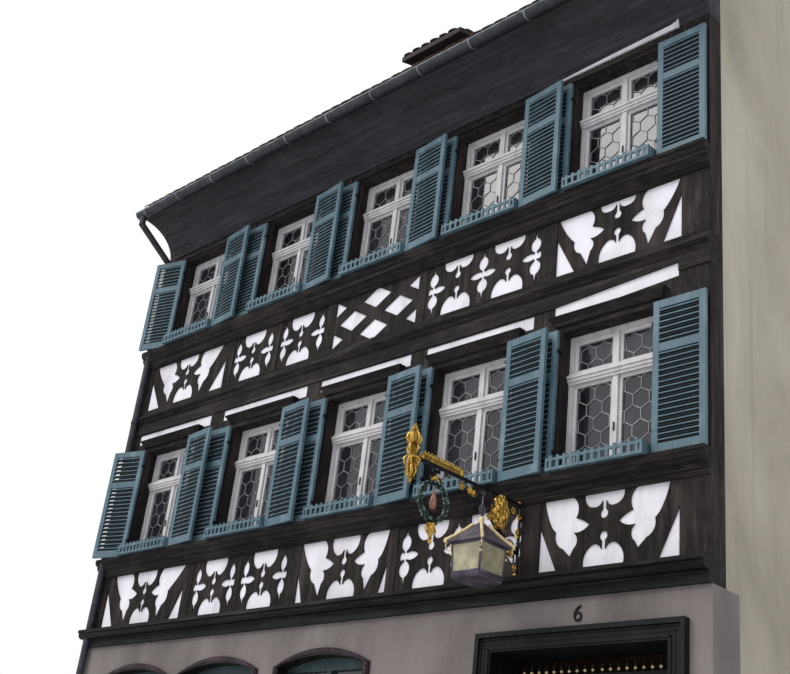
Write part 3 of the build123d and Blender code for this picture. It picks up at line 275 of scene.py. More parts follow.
BY_SLOT = dict(
    plaster=PARTY_PLASTER, infill=INFILL, stone=DOOR_WOOD, floor_stone=STONE_FLOOR, floor_wood=FLOOR_WOOD,
    timber=TIMBER, frame_wood=FRAME_PAINT, shutter_paint=SHUTTER_PAINT, cove_paint=COVE, zinc=ZINC,
    iron=IRON, gilding=GOLD, roof_tile=TILE, window_glass=WINDOW_GLASS, lantern_glass=LANTERN_GLASS,
)
BY_NODE = dict(
    ground_wall_left=GROUND_PLASTER, ground_wall_right=GROUND_PLASTER, wall_over_door=GROUND_PLASTER,
    rear_wall=REAR_PLASTER, cornice_beam=CORNICE, middle_beam=TIMBER_LONG,
    first_sill_moulding=TIMBER_LONG, second_sill_moulding=TIMBER_LONG, hood_boards=TIMBER_LONG,
    ground_window_frames=ARCH_PAINT, dormer_walls=TIMBER, dormer_roof=SHADED_DORMER_TILE,
)
for part in frame["record"]["subparts"]:
    node = part["node"]
    if node in frame["nodes"]:
        mesh = frame["nodes"][node].data
        mesh.materials.clear()
        mesh.materials.append(BY_NODE.get(node, BY_SLOT[part["material_slot"]]))


# Mesh helpers
def turns(count, first=0.0):
    """Angles of a full circle in equal steps."""
    return [2 * pi * (k + first) / count for k in range(count)]


def evenly(first, last, steps):
    """Values from first to last in equal steps."""
    return [first + (last - first) * k / steps for k in range(steps + 1)]


def around(middle, half):
    return middle - half, middle + half


def add_object(name, data):
    thing = bpy.data.objects.new(name, data)
    SCENE.collection.objects.link(thing)
    return thing


def band(a, b, sides):
    """Faces between two rings of points that start at a and b."""
    return [(a + k, a + (k + 1) % sides, b + (k + 1) % sides, b + k) for k in range(sides)]


class Build:
    """Collects vertices and faces of many small pieces into one mesh."""

    def __init__(self):
        self.points = []
        self.faces = []
        self.place = None

    def add(self, points, faces):
        start = len(self.points)
        flip = False
        if self.place is not None:
            points = [tuple(self.place @ Vector(p)) for p in points]
            flip = self.place.determinant() < 0
        self.points.extend(points)
        for face in faces:
            face = tuple(start + i for i in face)
            self.faces.append(face[::-1] if flip else face)

    def box(self, x0, x1, y0, y1, z0, z1):
        self.add(
            [(x, y, z) for x in (x0, x1) for y in (y0, y1) for z in (z0, z1)],
            [(0, 1, 3, 2), (4, 6, 7, 5), (0, 4, 5, 1), (2, 3, 7, 6), (0, 2, 6, 4), (1, 5, 7, 3)],
        )

    def bar(self, a, b, across, thick, width):
        """Straight bar from a to b; across is the direction of its thickness."""
        a, b = Vector(a), Vector(b)
        along = (b - a).normalized()
        n = Vector(across).normalized() * thick / 2
        s = along.cross(n).normalized() * width / 2
        ring = [-n - s, n - s, n + s, -n + s]
        self.sleeve([[tuple(end + r) for r in ring] for end in (a, b)])

    def sleeve(self, rows, loop=False):
        """Skin over rings of points, with a flat end at either side or joined to a loop."""
        sides = len(rows[0])
        faces = []
        for i in range(len(rows) if loop else len(rows) - 1):
            faces += band(i * sides, (i + 1) % len(rows) * sides, sides)
        if not loop:
            faces.append(tuple(range(sides))[::-1])
            faces.append(tuple((len(rows) - 1) * sides + k for k in range(sides)))
        self.add([point for row in rows for point in row], faces)

    def tube(self, path, radius, sides=8, closed=False):
        """Round bar along a path; radius is one number or one for each point."""
        path = [Vector(p) for p in path]
        count = len(path)
        radii = radius if isinstance(radius, (list, tuple)) else [radius] * count
        rows = []
        side = None
        for i, p in enumerate(path):
            before = path[i - 1] if i or closed else p
            after = path[(i + 1) % count] if i < count - 1 or closed else p
            along = (after - before).normalized()
            if side is None:
                side = along.orthogonal().normalized()
            side = (side - along * side.dot(along)).normalized()
            other = along.cross(side)
            ring = [side * cos(a) + other * sin(a) for a in turns(sides)]
            rows.append([tuple(p + way * radii[i]) for way in ring])
        self.sleeve(rows, closed)

    def ball(self, centre, radius, stretch=(1, 1, 1), rings=6, sides=10):
        x, y, z = centre
        reach_x, reach_y, reach_z = (radius * share for share in stretch)
        points = [(x, y, z - reach_z)]
        for level in evenly(0, pi, rings)[1:-1]:
            across, height = sin(level), z - reach_z * cos(level)
            for angle in turns(sides):
                out_x, out_y = across * cos(angle), across * sin(angle)
                points.append((x + reach_x * out_x, y + reach_y * out_y, height))
        points.append((x, y, z + reach_z))
        last = 1 + (rings - 2) * sides
        faces = [(0, 1 + (k + 1) % sides, 1 + k) for k in range(sides)]
        faces += [(last + k, last + (k + 1) % sides, last + sides) for k in range(sides)]
        for a in range(1, last, sides):
            faces += band(a, a + sides, sides)
        self.add(points, faces)

    def lathe(self, profile, centre, sides=14, lobes=0, depth=0.0):
        """Turned shape: (radius, height) pairs round an upright axis, lobed like petals if wanted."""
        x, y, z = centre
        rows = []
        for radius, height in profile:
            reach = [(radius * (1 + depth * cos(lobes * a)), a) for a in turns(sides)]
            rows.append([(x + r * cos(a), y + r * sin(a), z + height) for r, a in reach])
        self.sleeve(rows)

    def slab(self, outline, front, back, to_point):
        """Flat board with any outline; to_point turns (u, v, depth) into a point."""
        self.sleeve([[to_point(u, v, depth) for u, v in outline] for depth in (back, front)])

    def obj(self, name, material, body="house", bevel=0.0, smooth=False):
        mesh = bpy.data.meshes.new(name)
        mesh.from_pydata(self.points, [], self.faces)
        mesh.validate()
        mesh.update()
        mesh.materials.append(material)
        if smooth:
            mesh.shade_smooth()
        thing = add_object(name, mesh)
        if bevel:
            mod = thing.modifiers.new("edge", "BEVEL")
            mod.width = bevel
            mod.segments = 1
            mod.limit_method = "ANGLE"
        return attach(thing, body)


# Louvred shutters: stiles, rails and slats, in the places of the boards that they stand for
LEAF_W, LEAF_T, STILE = 0.52, 0.036, 0.062
FOOT_RAIL, HEAD_RAIL, LOCK_RAIL, LOCK_SHARE = 0.09, 0.075, 0.08, 0.68
RAIL_BACK, LOW_SLATS, HIGH_SLATS = 0.002, 16, 6
NOSE_SHARE, NOSE_BACK, NOSE_T, NOSE_W = 0.62, 0.007, 0.011, 0.012
SLAT_Y, SLAT_DROP, SLAT_T, SLAT_W = -0.016, 0.017, 0.007, 0.042
SLAT_FACE, TENON, PLAY = (0, 0.82, -0.57), 0.004, 0.0015
HINGE_SHARES, HINGE_X, HINGE_HALF, HINGE_OUT = (0.15, 0.85), (-0.014, 0.003), 0.016, 0.002
STRAP_X, STRAP_HALF, STRAP_OUT = (0.004, 0.056), 0.013, 0.003
SHUTTER_GAP, UNDER_OUT, OVER_OUT, LAPPING_TURN, END_TURN = 0.008, 0.03, 0.084, 6, 15
PAINTED_EDGE = 0.0015


def shutter(wood_work, slats, iron_work, place, height, out):
    """One leaf with its hinge edge at X = 0 and its back face at Y = 0, moved to its place."""
    for work in (wood_work, slats, iron_work):
        work.place = place
    for x in (0, LEAF_W - STILE):
        wood_work.box(x, x + STILE, -LEAF_T, 0, 0, height)
    left, right = STILE, LEAF_W - STILE
    lock = height * LOCK_SHARE
    rails = ((0, FOOT_RAIL), around(lock, LOCK_RAIL / 2), (height - HEAD_RAIL, height))
    for bottom, top in rails:
        wood_work.box(left, right, -LEAF_T + RAIL_BACK, -RAIL_BACK, bottom, top)
    fields = ((rails[0][1], rails[1][0], LOW_SLATS), (rails[1][1], rails[2][0], HIGH_SLATS))
    for bottom, top, count in fields:
        for i in range(count):
            z = bottom + (i + NOSE_SHARE) * (top - bottom) / count
            lift = dice.uniform(-PLAY, PLAY)
            ends = ((left - TENON, lift), (right + TENON, -lift))
            nose = [(x, -LEAF_T + NOSE_BACK, z + rise) for x, rise in ends]
            wood_work.bar(*nose, (0, 1, 0), NOSE_T, NOSE_W)
            slat = [(x, SLAT_Y, z - SLAT_DROP + rise) for x, rise in ends]
            slats.bar(*slat, SLAT_FACE, SLAT_T, SLAT_W)
    for share in HINGE_SHARES:
        z = height * share
        iron_work.box(*HINGE_X, -LEAF_T - HINGE_OUT, out, *around(z, HINGE_HALF))
        wood_work.box(*STRAP_X, -LEAF_T - STRAP_OUT, -LEAF_T, *around(z, STRAP_HALF))
    for work in (wood_work, slats, iron_work):
        work.place = None


def shutter_place(x, out, sill, turn, mirrored):
    place = Matrix.Translation((x, FRONT - out, sill + SHUTTER_GAP))
    if mirrored:
        place = place @ Matrix.Diagonal((-1, 1, 1, 1))
    return place @ Matrix.Rotation(radians(-turn), 4, "Z")


def add_shutters():
    """Both leaves of every window; where two neighbours meet, one laps over the other."""
    iron_work = Build()
    half = WINDOW_W / 2
    leaves = [(x - half, UNDER_OUT, 0, True) for x in WINDOWS[1:]]
    leaves += [(x + half, OVER_OUT, LAPPING_TURN, False) for x in WINDOWS[:-1]]
    leaves += [(WINDOWS[0] - half, UNDER_OUT, END_TURN, True), (WINDOWS[-1] + half, UNDER_OUT, 0, False)]
    for name, sill, head in STOREYS:
        wood_work, slats = Build(), Build()
        for x, out, turn, mirrored in leaves:
            place = shutter_place(x, out, sill, turn, mirrored)
            shutter(wood_work, slats, iron_work, place, head - sill, out)
        leaf_object = wood_work.obj(name + "_louvred_shutters", SHUTTER_PAINT, bevel=PAINTED_EDGE)
        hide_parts(name + "_shutters")
        # The slats take the dark painted shade colour; only their noses carry the shutter paint
        slats.obj(name + "_shutter_slats", SHUTTER_SHADE)
    iron_work.obj("shutter_hinges", IRON)


# Leaded glass with its catches
TRANSOM_SHARE = 0.695
PANE_INNER, PANE_OUTER, PANE_EDGE, TRANSOM_HALF = 0.060, 0.443, 0.082, 0.09
LEAD_CELL, LEAD_W, LEAD_T, LEAD_OUT = 0.172, 0.0075, 0.006, 0.004
SHORTEST_SHARE = 0.02
CATCH_HALF, CATCH_Y, CATCH_Z = 0.006, (FRONT + 0.128, FRONT + 0.141), (0.40, 0.48)


def clip(a, b, x0, x1, z0, z1):
    """The part of a segment that lies inside a rectangle, or None."""
    t0, t1 = 0.0, 1.0
    dx, dz = b[0] - a[0], b[1] - a[1]
    for p, q in ((-dx, a[0] - x0), (dx, x1 - a[0]), (-dz, a[1] - z0), (dz, z1 - a[1])):
        if abs(p) < 1e-9:
            if q < 0:
                return None
        elif p < 0:
            t0 = max(t0, q / p)
        else:
            t1 = min(t1, q / p)
    if t1 - t0 < SHORTEST_SHARE:
        return None
    return (a[0] + dx * t0, a[1] + dz * t0), (a[0] + dx * t1, a[1] + dz * t1)


def honeycomb(build, x0, x1, z0, z1, y):
    """Lead lines in a honeycomb with upright cells."""
    side = LEAD_CELL / sqrt(3)
    middle = (x0 + x1) / 2
    rows = int((z1 - z0) / (1.5 * side)) + 3
    columns = int((x1 - x0) / LEAD_CELL) + 3
    for row in range(-1, rows):
        z = z0 + row * 1.5 * side
        shift = LEAD_CELL / 2 if row % 2 else 0.0
        for column in range(-columns, columns + 1):
            x = middle + column * LEAD_CELL + shift
            right = x + LEAD_CELL / 2
            corners = [(x, z + side), (right, z + side / 2), (right, z - side / 2), (x, z - side)]
            for a, b in zip(corners, corners[1:]):
                piece = clip(a, b, x0, x1, z0, z1)
                if piece:
                    ends = [(px, y, pz) for px, pz in piece]
                    build.bar(*ends, (0, 1, 0), LEAD_T, LEAD_W)


def add_leading():
    leading, catches = Build(), Build()
    y = GLASS_Y - LEAD_OUT
    for _, sill, head in STOREYS:
        transom = sill + (head - sill) * TRANSOM_SHARE
        for x in WINDOWS:
            for x0, x1 in ((x - PANE_OUTER, x - PANE_INNER), (x + PANE_INNER, x + PANE_OUTER)):
                honeycomb(leading, x0, x1, sill + PANE_EDGE, transom - TRANSOM_HALF, y)
                honeycomb(leading, x0, x1, transom + TRANSOM_HALF, head - PANE_EDGE, y)
            catches.box(*around(x, CATCH_HALF), *CATCH_Y, sill + CATCH_Z[0], sill + CATCH_Z[1])
    leading.obj("window_leading", LEAD)
    catches.obj("window_catches", IRON)


# Timber boards over the posts and rails of the parapets and beside the windows, with their pegs
PANELS = ((-4.205, -2.56), (-2.40, -1.585), (-1.495, -0.64), (-0.50, 0.845), (0.97, 2.56), (2.737, 4.155))
POST_Y, RAIL_Y = (FRONT - 0.005, FRONT + 0.002), (FRONT - 0.008, FRONT + 0.002)
POST_GAP, POST_BELOW, POST_ABOVE, JAMB_W, LINTEL_H = 0.001, 0.002, 0.01, 0.13, 0.11
PEG_R, PEG_OUT, PEG_IN = 0.011, 0.011, 0.07
NARROW_POST, NARROW_STEP, WIDE_STEP = 0.2, 0.03, 0.07


def add_timbers():
    posts, rails, pegs = Build(), Build(), Build()
    edges = [-HALF] + [edge for panel in PANELS for edge in panel] + [HALF]
    for foot, bottom, top in PARAPETS:
        for left, right in zip(edges[::2], edges[1::2]):
            posts.box(left + POST_GAP, right - POST_GAP, *POST_Y, bottom - POST_BELOW, top + POST_ABOVE)
            step = NARROW_STEP if right - left < NARROW_POST else WIDE_STEP
            for z in (bottom + PEG_IN, top - PEG_IN):
                for x in around((left + right) / 2, step):
                    pegs.tube([(x, FRONT, z), (x, FRONT - PEG_OUT, z)], PEG_R)
        rails.box(-HALF, HALF, *RAIL_Y, foot, bottom)
    for _, sill, head in STOREYS:
        for x in WINDOWS:
            left, right = around(x, WINDOW_W / 2)
            posts.box(left - JAMB_W, left - POST_GAP, *POST_Y, sill, head)
            posts.box(right + POST_GAP, right + JAMB_W, *POST_Y, sill, head)
            rails.box(left - JAMB_W, right + JAMB_W, *RAIL_Y, head, head + LINTEL_H)
    posts.obj("timber_posts", TIMBER, bevel=WORN_EDGE)
    rails.obj("timber_rails", TIMBER_LONG, bevel=WORN_EDGE)
    pegs.obj("timber_pegs", TIMBER)


# Beads along the mouldings of the street front: the top of each moulding, then how far out of the
# front and how far below that top each bead lies
BEADS = (
    (CORNICE_TOP, ((0.152, 0.035), (0.134, 0.072), (0.063, 0.115))),
    (FIRST_SILL, ((0.121, 0.035), (0.079, 0.12), (0.041, 0.195))),
    (BEAM_TOP, ((0.053, 0.08), (0.031, 0.13))),
    (SECOND_SILL, ((0.121, 0.04), (0.079, 0.14), (0.041, 0.225))),
)
BEAD_R, BEAD_START = 0.007, -HALF + 0.17


def add_beads():
    beads = Build()
    for top, places in BEADS:
        for out, below in places:
            y, z = FRONT - out, top - below
            beads.tube([(BEAD_START, y, z), (HALF, y, z)], BEAD_R, 6)
    beads.obj("moulding_beads", TIMBER_LONG, smooth=True)


# Arched windows: casing in front of the wall, dark lining and glazing bars
ARCHES = (-3.21, -1.62, 0.065)
ARCH_HALF, ARCH_SILL, ARCH_SPRING, ARCH_RISE, ARCH_STEPS = 0.66, 0.95, 3.59, 0.115, 14
CASING_OUTER, CASING_STEP, CASING_INNER, CASING_OUT, CASING_STEP_OUT = 0.048, 0.034, -0.022, 0.030, 0.040
LINING_OUTER, LINING_INNER, LINING_OUT, LINING_IN = -0.004, -0.0245, 0.024, 0.119
CASEMENT_X, GLAZING_HALF, FIELD_HALF, BAR_HALF, BAR_H = 0.3125, 0.27, 0.25, 0.012, 0.024
BAR_Y, FIELD_Y = (FRONT + 0.142, FRONT + 0.165), (FRONT + 0.150, FRONT + 0.165)
BAR_Z, BAR_LEVELS, FIELD_LEVELS, FIELD_H = (1.02, 2.85), (1.50, 2.0, 2.45), (1.06, 1.76), 0.03


def arch_line(centre, grow):
    """Outline of a flat arched opening, grown all round, as (x, z) from the right foot."""
    half, rise = ARCH_HALF + grow, ARCH_RISE + grow
    radius = (half * half + rise * rise) / (2 * rise)
    middle = ARCH_SPRING + rise - radius
    reach = asin(half / radius)
    line = [(centre + half, ARCH_SILL - grow)]
    for angle in evenly(reach, -reach, ARCH_STEPS):
        line.append((centre + radius * sin(angle), middle + radius * cos(angle)))
    line.append((centre - half, ARCH_SILL - grow))
    return line


def arch_ring(build, centre, outer, inner, front, back):
    """Closed band between two outlines of an arch, from a front to a back depth."""
    corners = ((outer, front), (inner, front), (inner, back), (outer, back))
    rows = [[(x, y, z) for x, z in arch_line(centre, grow)] for grow, y in corners]
    build.sleeve(rows, loop=True)


def add_arches():
    casings, lining, bars = Build(), Build(), Build()
    for centre in ARCHES:
        arch_ring(casings, centre, CASING_OUTER, CASING_INNER, FRONT - CASING_OUT, FRONT)
        arch_ring(lining, centre, LINING_OUTER, LINING_INNER, FRONT - LINING_OUT, FRONT + LINING_IN)
        arch_ring(casings, centre, CASING_STEP, LINING_OUTER, FRONT - CASING_STEP_OUT, FRONT - CASING_OUT)
        for x in around(centre, CASEMENT_X):
            for z in FIELD_LEVELS:
                bars.box(*around(x, FIELD_HALF), *FIELD_Y, z, z + FIELD_H)
            bars.box(*around(x, BAR_HALF), *BAR_Y, *BAR_Z)
            for z in BAR_LEVELS:
                bars.box(*around(x, GLAZING_HALF), *BAR_Y, z, z + BAR_H)
    casings.obj("arch_casings", CASING, bevel=WORN_EDGE)
    lining.obj("arch_linings", DOOR_WOOD)
    bars.obj("arch_glazing_bars", ARCH_PAINT, bevel=WORN_EDGE)


# Gate: balls under the tips of the bars, collars on the bars
BAR_PITCH, BAR_COUNT, MEETING_GAP = 0.081, 10, 0.045
BALL_Z, BALL_R, NECK_Z, COLLAR_LEVELS = 3.462, 0.015, 3.49, (0.60, 1.75, 2.55)
NECK = ((0.013, 0), (0.016, 0.012), (0.013, 0.024))
COLLAR = ((0.011, 0), (0.017, 0.014), (0.017, 0.026), (0.011, 0.040))
DOOR_X = (PINS["gate_left"][0] + PINS["gate_right"][0]) / 2


def add_gate_trim():
    for body, way in (("gate_left", 1), ("gate_right", -1)):
        balls, collars = Build(), Build()
        hinge_x, y, _ = PINS[body]
        for i in range(BAR_COUNT):
            x = hinge_x + way * BAR_PITCH * (i + 1)
            if abs(x - DOOR_X) < MEETING_GAP:
                continue
            balls.ball((x, y, BALL_Z), BALL_R)
            collars.lathe(NECK, (x, y, NECK_Z), 8)
            for z in COLLAR_LEVELS:
                collars.lathe(COLLAR, (x, y, z), 8)
        balls.obj(body + "_balls", PALE_GOLD, body, smooth=True)
        collars.obj(body + "_bar_collars", IRON, body, smooth=True)


# Door surround: inner beads, given by how far outside the opening and how proud they lie, and plinths
DOOR_HALF, DOOR_TOP, SURROUND_OUT, SURROUND_IN = 0.89, 3.58, 0.045, 0.044
DOOR_BEADS, DOOR_BEAD_W = ((0.018, 0.010), (0.060, 0.006), (0.100, 0.010)), 0.016
PLINTH_H, PLINTH_W, PLINTH_OUT = 0.22, 0.163, 0.082


def add_door_surround():
    surround = Build()
    for offset, proud in DOOR_BEADS:
        inner, top = DOOR_HALF + offset, DOOR_TOP + offset
        outer, depth = inner + DOOR_BEAD_W, (FRONT - SURROUND_OUT - proud, FRONT - SURROUND_IN)
        surround.box(DOOR_X - outer, DOOR_X - inner, *depth, PLINTH_H, top + DOOR_BEAD_W)
        surround.box(DOOR_X + inner, DOOR_X + outer, *depth, PLINTH_H, top + DOOR_BEAD_W)
        surround.box(*around(DOOR_X, outer), *depth, top, top + DOOR_BEAD_W)
    depth = (FRONT - PLINTH_OUT, FRONT - SURROUND_IN)
    for side in (-1, 1):
        edge = DOOR_X + side * DOOR_HALF
        x0, x1 = sorted((edge, edge + side * PLINTH_W))
        surround.box(x0, x1, *depth, 0.0, PLINTH_H)
    surround.obj("door_mouldings", DOOR_WOOD, bevel=WORN_EDGE)


# Flat tiles on both slopes and on the dormer, laid in staggered rows with rounded ends
TILE_PITCH, TILE_ROW, FIRST_ROW = 0.174, 0.15, 0.01
TILE_HALF, TILE_L, TILE_T, TAIL_L, TAIL_STEPS = 0.0855, 0.22, 0.014, 0.055, 6
TILE_LIFT, TILE_FALL, LIFT_PLAY, SKEW_PLAY = 0.034, 0.024, 0.003, 0.004
HALF_TILE_EDGE = 0.03
EAVES_Y = span("roof_front", "Y")[0]
RIDGE_Z = span("roof_front", "Z")[1]
DORMER_LEFT, DORMER_RIGHT = span("dormer_roof", "X")
DORMER_PITCH, DORMER_LENGTH = 0.3153, 0.93
DORMER_EAVE = (FRONT + 1.18, 12.643)
RIDGE_COUNT, RIDGE_PITCH, RIDGE_L, RIDGE_LIP, RIDGE_START = 23, 0.387, 0.375, 0.05, 0.02
RIDGE_AXIS_Z, RIDGE_HALF, RIDGE_RISE, RIDGE_BORE_SHARE, RIDGE_STEPS = 14.715, 0.155, 0.142, 0.9, 8
COVER_PROUD, LIP_PROUD, RIDGE_CUT = 0.004, 0.014, 0.04
TAIL = [(-TILE_HALF * cos(a), TAIL_L - TAIL_L * sin(a)) for a in evenly(0, pi, TAIL_STEPS)]


def tile(build, base, u, along, normal):
    """One flat tile; base is the middle of its lower end on the roof's surface."""
    low = TILE_LIFT + dice.uniform(-LIFT_PLAY, LIFT_PLAY)
    skew = dice.uniform(-SKEW_PLAY, SKEW_PLAY)
    outline = [(x, v + skew * x * 10) for x, v in TAIL] + [(TILE_HALF, TILE_L), (-TILE_HALF, TILE_L)]
    points = []
    for lift in (0.0, -TILE_T):
        for x, v in outline:
            height = low - TILE_FALL * v / TILE_L + lift
            points.append(tuple(base + u * x + along * v + normal * height))
    count = len(outline)
    faces = [tuple(range(count))]
    faces += [(i, i + count, (i + 1) % count + count, (i + 1) % count) for i in range(TAIL_STEPS)]
    build.add(points, faces)


def tile_rows(build, start, u, along, normal, half_width, length):
    """Rows of tiles up a slope; start is the middle of its lower edge."""
    count = int(2 * half_width / TILE_PITCH) + 2
    for row in range(int(length / TILE_ROW)):
        shift = TILE_PITCH / 2 if row % 2 else 0.0
        for i in range(count):
            x = -half_width + TILE_PITCH / 2 + i * TILE_PITCH - shift
            if abs(x) > half_width - HALF_TILE_EDGE:
                continue
            x = min(max(x, -half_width + TILE_HALF), half_width - TILE_HALF)
            tile(build, start + u * x + along * (row * TILE_ROW + FIRST_ROW), u, along, normal)


def tiled_slope(name, material, eave, pitch, way, half_width, length):
    """Tiles on one slope; eave is the middle of its lower edge and way its direction, 1 or -1."""
    tiles = Build()
    slope = atan(pitch)
    along = Vector((0, way * cos(slope), sin(slope)))
    normal = Vector((0, -way * sin(slope), cos(slope)))
    tile_rows(tiles, Vector(eave), Vector((way, 0, 0)), along, normal, half_width, length)
    return tiles.obj(name, material)


def add_roof_tiles():
    for name, way in (("front", 1), ("rear", -1)):
        eave = (0, way * EAVES_Y, RIDGE_Z + EAVES_Y)
        length = -EAVES_Y * sqrt(2)
        tiled_slope("roof_tiles_" + name, TILE, eave, 1, way, HALF, length)
    half_width = (DORMER_RIGHT - DORMER_LEFT) / 2
    eave = (DORMER_LEFT + half_width, *DORMER_EAVE)
    # The dormer's tiles take the darker copy, painted in shade
    tiled_slope("dormer_tiles", SHADED_DORMER_TILE, eave, DORMER_PITCH, 1, half_width, DORMER_LENGTH)


def add_ridge_covers():
    """Half round covers along the ridge, each with a thicker lip over its neighbour."""
    ridge = Build()
    angles = evenly(RIDGE_CUT * pi, (1 - RIDGE_CUT) * pi, RIDGE_STEPS)
    for i in range(RIDGE_COUNT):
        x = -HALF + RIDGE_START + i * RIDGE_PITCH
        for length, proud in ((RIDGE_L, COVER_PROUD), (RIDGE_LIP, LIP_PROUD)):
            arc = [(RIDGE_HALF * cos(a), (RIDGE_RISE + proud) * sin(a)) for a in angles]
            bore = [(y * RIDGE_BORE_SHARE, rise * RIDGE_BORE_SHARE) for y, rise in arc[::-1]]
            outline = [(y, RIDGE_AXIS_Z + rise) for y, rise in arc + bore]
            ridge.slab(outline, x, min(x + length, HALF), lambda y, z, x: (x, y, z))
    ridge.obj("ridge_covers", TILE)


# Gutters with a bright bead and brackets, and the collars of the pipe
GUTTER_R = 0.07
GUTTER_Y = span("gutters", "Y")[0] + GUTTER_R
GUTTER_Z = span("gutters", "Z")[1]
GUTTER_BEAD_OUT, GUTTER_BEAD_UP, GUTTER_BEAD_R = 0.072, 0.004, 0.0085
BRACKET_COUNT, BRACKET_START, BRACKET_PITCH, BRACKET_R = 12, 0.2, 0.77, 0.073
BRACKET_W, BRACKET_T, BRACKET_STEPS = 0.014, 0.003, 8
PIPE_LEVELS, PIPE_OUT = (0.9, 2.9, 5.0, 7.0, 9.0), 0.062
PIPE_COLLAR = ((0.045, 0), (0.052, 0.008), (0.052, 0.05), (0.045, 0.058))


def add_gutter_trim():
    gutter = Build()
    angles = evenly(pi, 2 * pi, BRACKET_STEPS)
    for way in (1, -1):
        y = way * GUTTER_Y
        bead_y, bead_z = y - way * GUTTER_BEAD_OUT, GUTTER_Z + GUTTER_BEAD_UP
        gutter.tube([(-HALF, bead_y, bead_z), (HALF, bead_y, bead_z)], GUTTER_BEAD_R, 6)
        for i in range(BRACKET_COUNT):
            x = -HALF + BRACKET_START + i * BRACKET_PITCH
            arc = [(x, y + BRACKET_R * cos(a), GUTTER_Z + BRACKET_R * sin(a)) for a in angles]
            for start, end in zip(arc, arc[1:]):
                gutter.bar(start, end, (1, 0, 0), BRACKET_W, BRACKET_T)
    gutter.obj("gutter_brackets", BRIGHT_ZINC)
    pipe = Build()
    x = sum(span("downpipe", "X")) / 2
    for z in PIPE_LEVELS:
        pipe.lathe(PIPE_COLLAR, (x, FRONT - PIPE_OUT, z), 18)
    pipe.obj("pipe_collars", ZINC, smooth=True)


# Battens of the cove under both eaves, a quarter of an ellipse
COVE_OUT, COVE_RISE = 0.56, 0.44
BATTENS, BATTEN_START, BATTEN_STEP = 7, 10, 12
BATTEN_END, BATTEN_T, BATTEN_W, BATTEN_IN = 0.04, 0.010, 0.018, 0.001


def add_cove_battens():
    cove = Build()
    for way in (1, -1):
        for k in range(BATTENS):
            angle = radians(BATTEN_START + BATTEN_STEP * k)
            y = way * (FRONT - (COVE_OUT - COVE_OUT * cos(angle)))
            z = WALL_TOP + COVE_RISE * sin(angle)
            out = Vector((0, cos(angle) / COVE_OUT, sin(angle) / COVE_RISE)).normalized()
            inward = Vector((0, -way * out.y, -out.z))
            ends = [Vector((x, y, z)) + inward * BATTEN_IN for x in (-HALF + BATTEN_END, HALF - BATTEN_END)]
            cove.bar(*ends, inward, BATTEN_T, BATTEN_W)
    cove.obj("cove_battens", COVE)


# White strip over the last window of the second floor and the thin bead under the cove
STRIP = ((2.68, 9.588), (4.09, 9.604), (4.09, 9.686), (4.03, 9.668), (2.68, 9.612))
STRIP_OUT, STRIP_IN = 0.020, 0.004
STRIP_END = (4.09, 4.115, FRONT - 0.024, FRONT + 0.002, 9.60, 9.70)
LONG_BEAD = ((BEAD_START, FRONT - 0.012, 9.622), (2.68, FRONT - 0.012, 9.616))
SHORT_BEAD = ((2.66, FRONT - 0.024, 9.612), (4.10, FRONT - 0.030, 9.692))
LONG_BEAD_R, SHORT_BEAD_R = 0.010, 0.008


def add_head_strip():
    strip = Build()
    strip.slab(STRIP, FRONT - STRIP_OUT, FRONT + STRIP_IN, lambda x, z, y: (x, y, z))
    strip.box(*STRIP_END)
    strip.obj("head_strip", INFILL)
    beads = Build()
    beads.tube(LONG_BEAD, LONG_BEAD_R, 6)
    beads.tube(SHORT_BEAD, SHORT_BEAD_R, 6)
    beads.obj("head_bead", ZINC, smooth=True)


# Sills and pegs at the rear
REAR_SILLS, REAR_WINDOWS = (1.0, 5.15, 8.12), (-2.9, 0.0, 2.9)
SILL_HALF, SILL_T, SILL_IN, SILL_OUT, SILL_EDGE = 0.58, 0.05, 0.02, 0.09, 0.004
REAR_POSTS = (-4.365, -3.485, -2.315, -0.585, 0.585, 2.315, 3.485, 4.365)
REAR_PEG_LEVELS, REAR_PEG_R = (4.06, 4.11, 6.96, 7.01, 9.51, 9.56), 0.012
REAR_PEG_START, REAR_PEG_END = 0.015, 0.028


def add_rear_trim():
    sills = Build()
    for level in REAR_SILLS:
        for x in REAR_WINDOWS:
            sills.box(*around(x, SILL_HALF), REAR - SILL_IN, REAR + SILL_OUT, level - SILL_T, level)
    sills.obj("rear_sills", STONE_FLOOR, bevel=SILL_EDGE)
    pegs = Build()
    for x in REAR_POSTS:
        for z in REAR_PEG_LEVELS:
            pegs.tube([(x, REAR + REAR_PEG_START, z), (x, REAR + REAR_PEG_END, z)], REAR_PEG_R)
    pegs.obj("rear_pegs", TIMBER)


# Hanging sign. Places in the plane of its bracket are (out of the front, level), and small gilded
# balls are (radius, stretch, rings, sides).
def sign_point(out, level):
    return SIGN_X, FRONT - out, level


# Scrolls: outer end, direction of that end from the scroll's middle in degrees, size, way it turns, radius
SCROLLS = (
    ((0.04, 4.86), 150, 0.080, -1, 0.007),
    ((0.05, 4.50), 170, 0.085, 1, 0.007),
    ((0.04, 4.44), 170, 0.070, -1, 0.006),
    ((0.675, 4.872), 80, 0.062, 1, 0.007),
    ((0.472, 4.74), 20, 0.068, -1, 0.007),
    ((0.79, 4.872), 120, 0.056, 1, 0.006),
)
SCROLL_TURNS, SCROLL_STEPS, SCROLL_SHRINK, SCROLL_THINNING = 1.6, 26, 0.82, 0.55
FLOWERS = ((0.012, 4.765), (0.030, 4.622), (0.036, 4.299), (0.430, 4.66), (0.706, 4.815))
FLOWER_OUT, FLOWER_R, PETALS, PETAL_OUT = 0.012, 0.020, 6, 0.026
PETAL = (0.013, (0.6, 1, 1), 5, 8)
FOOT_STAY = ((0.030, 4.30), (0.075, 4.34), (0.080, 4.42), (0.030, 4.50))
ARM_STAY = ((0.44, 4.67), (0.40, 4.62), (0.33, 4.575), (0.22, 4.55))
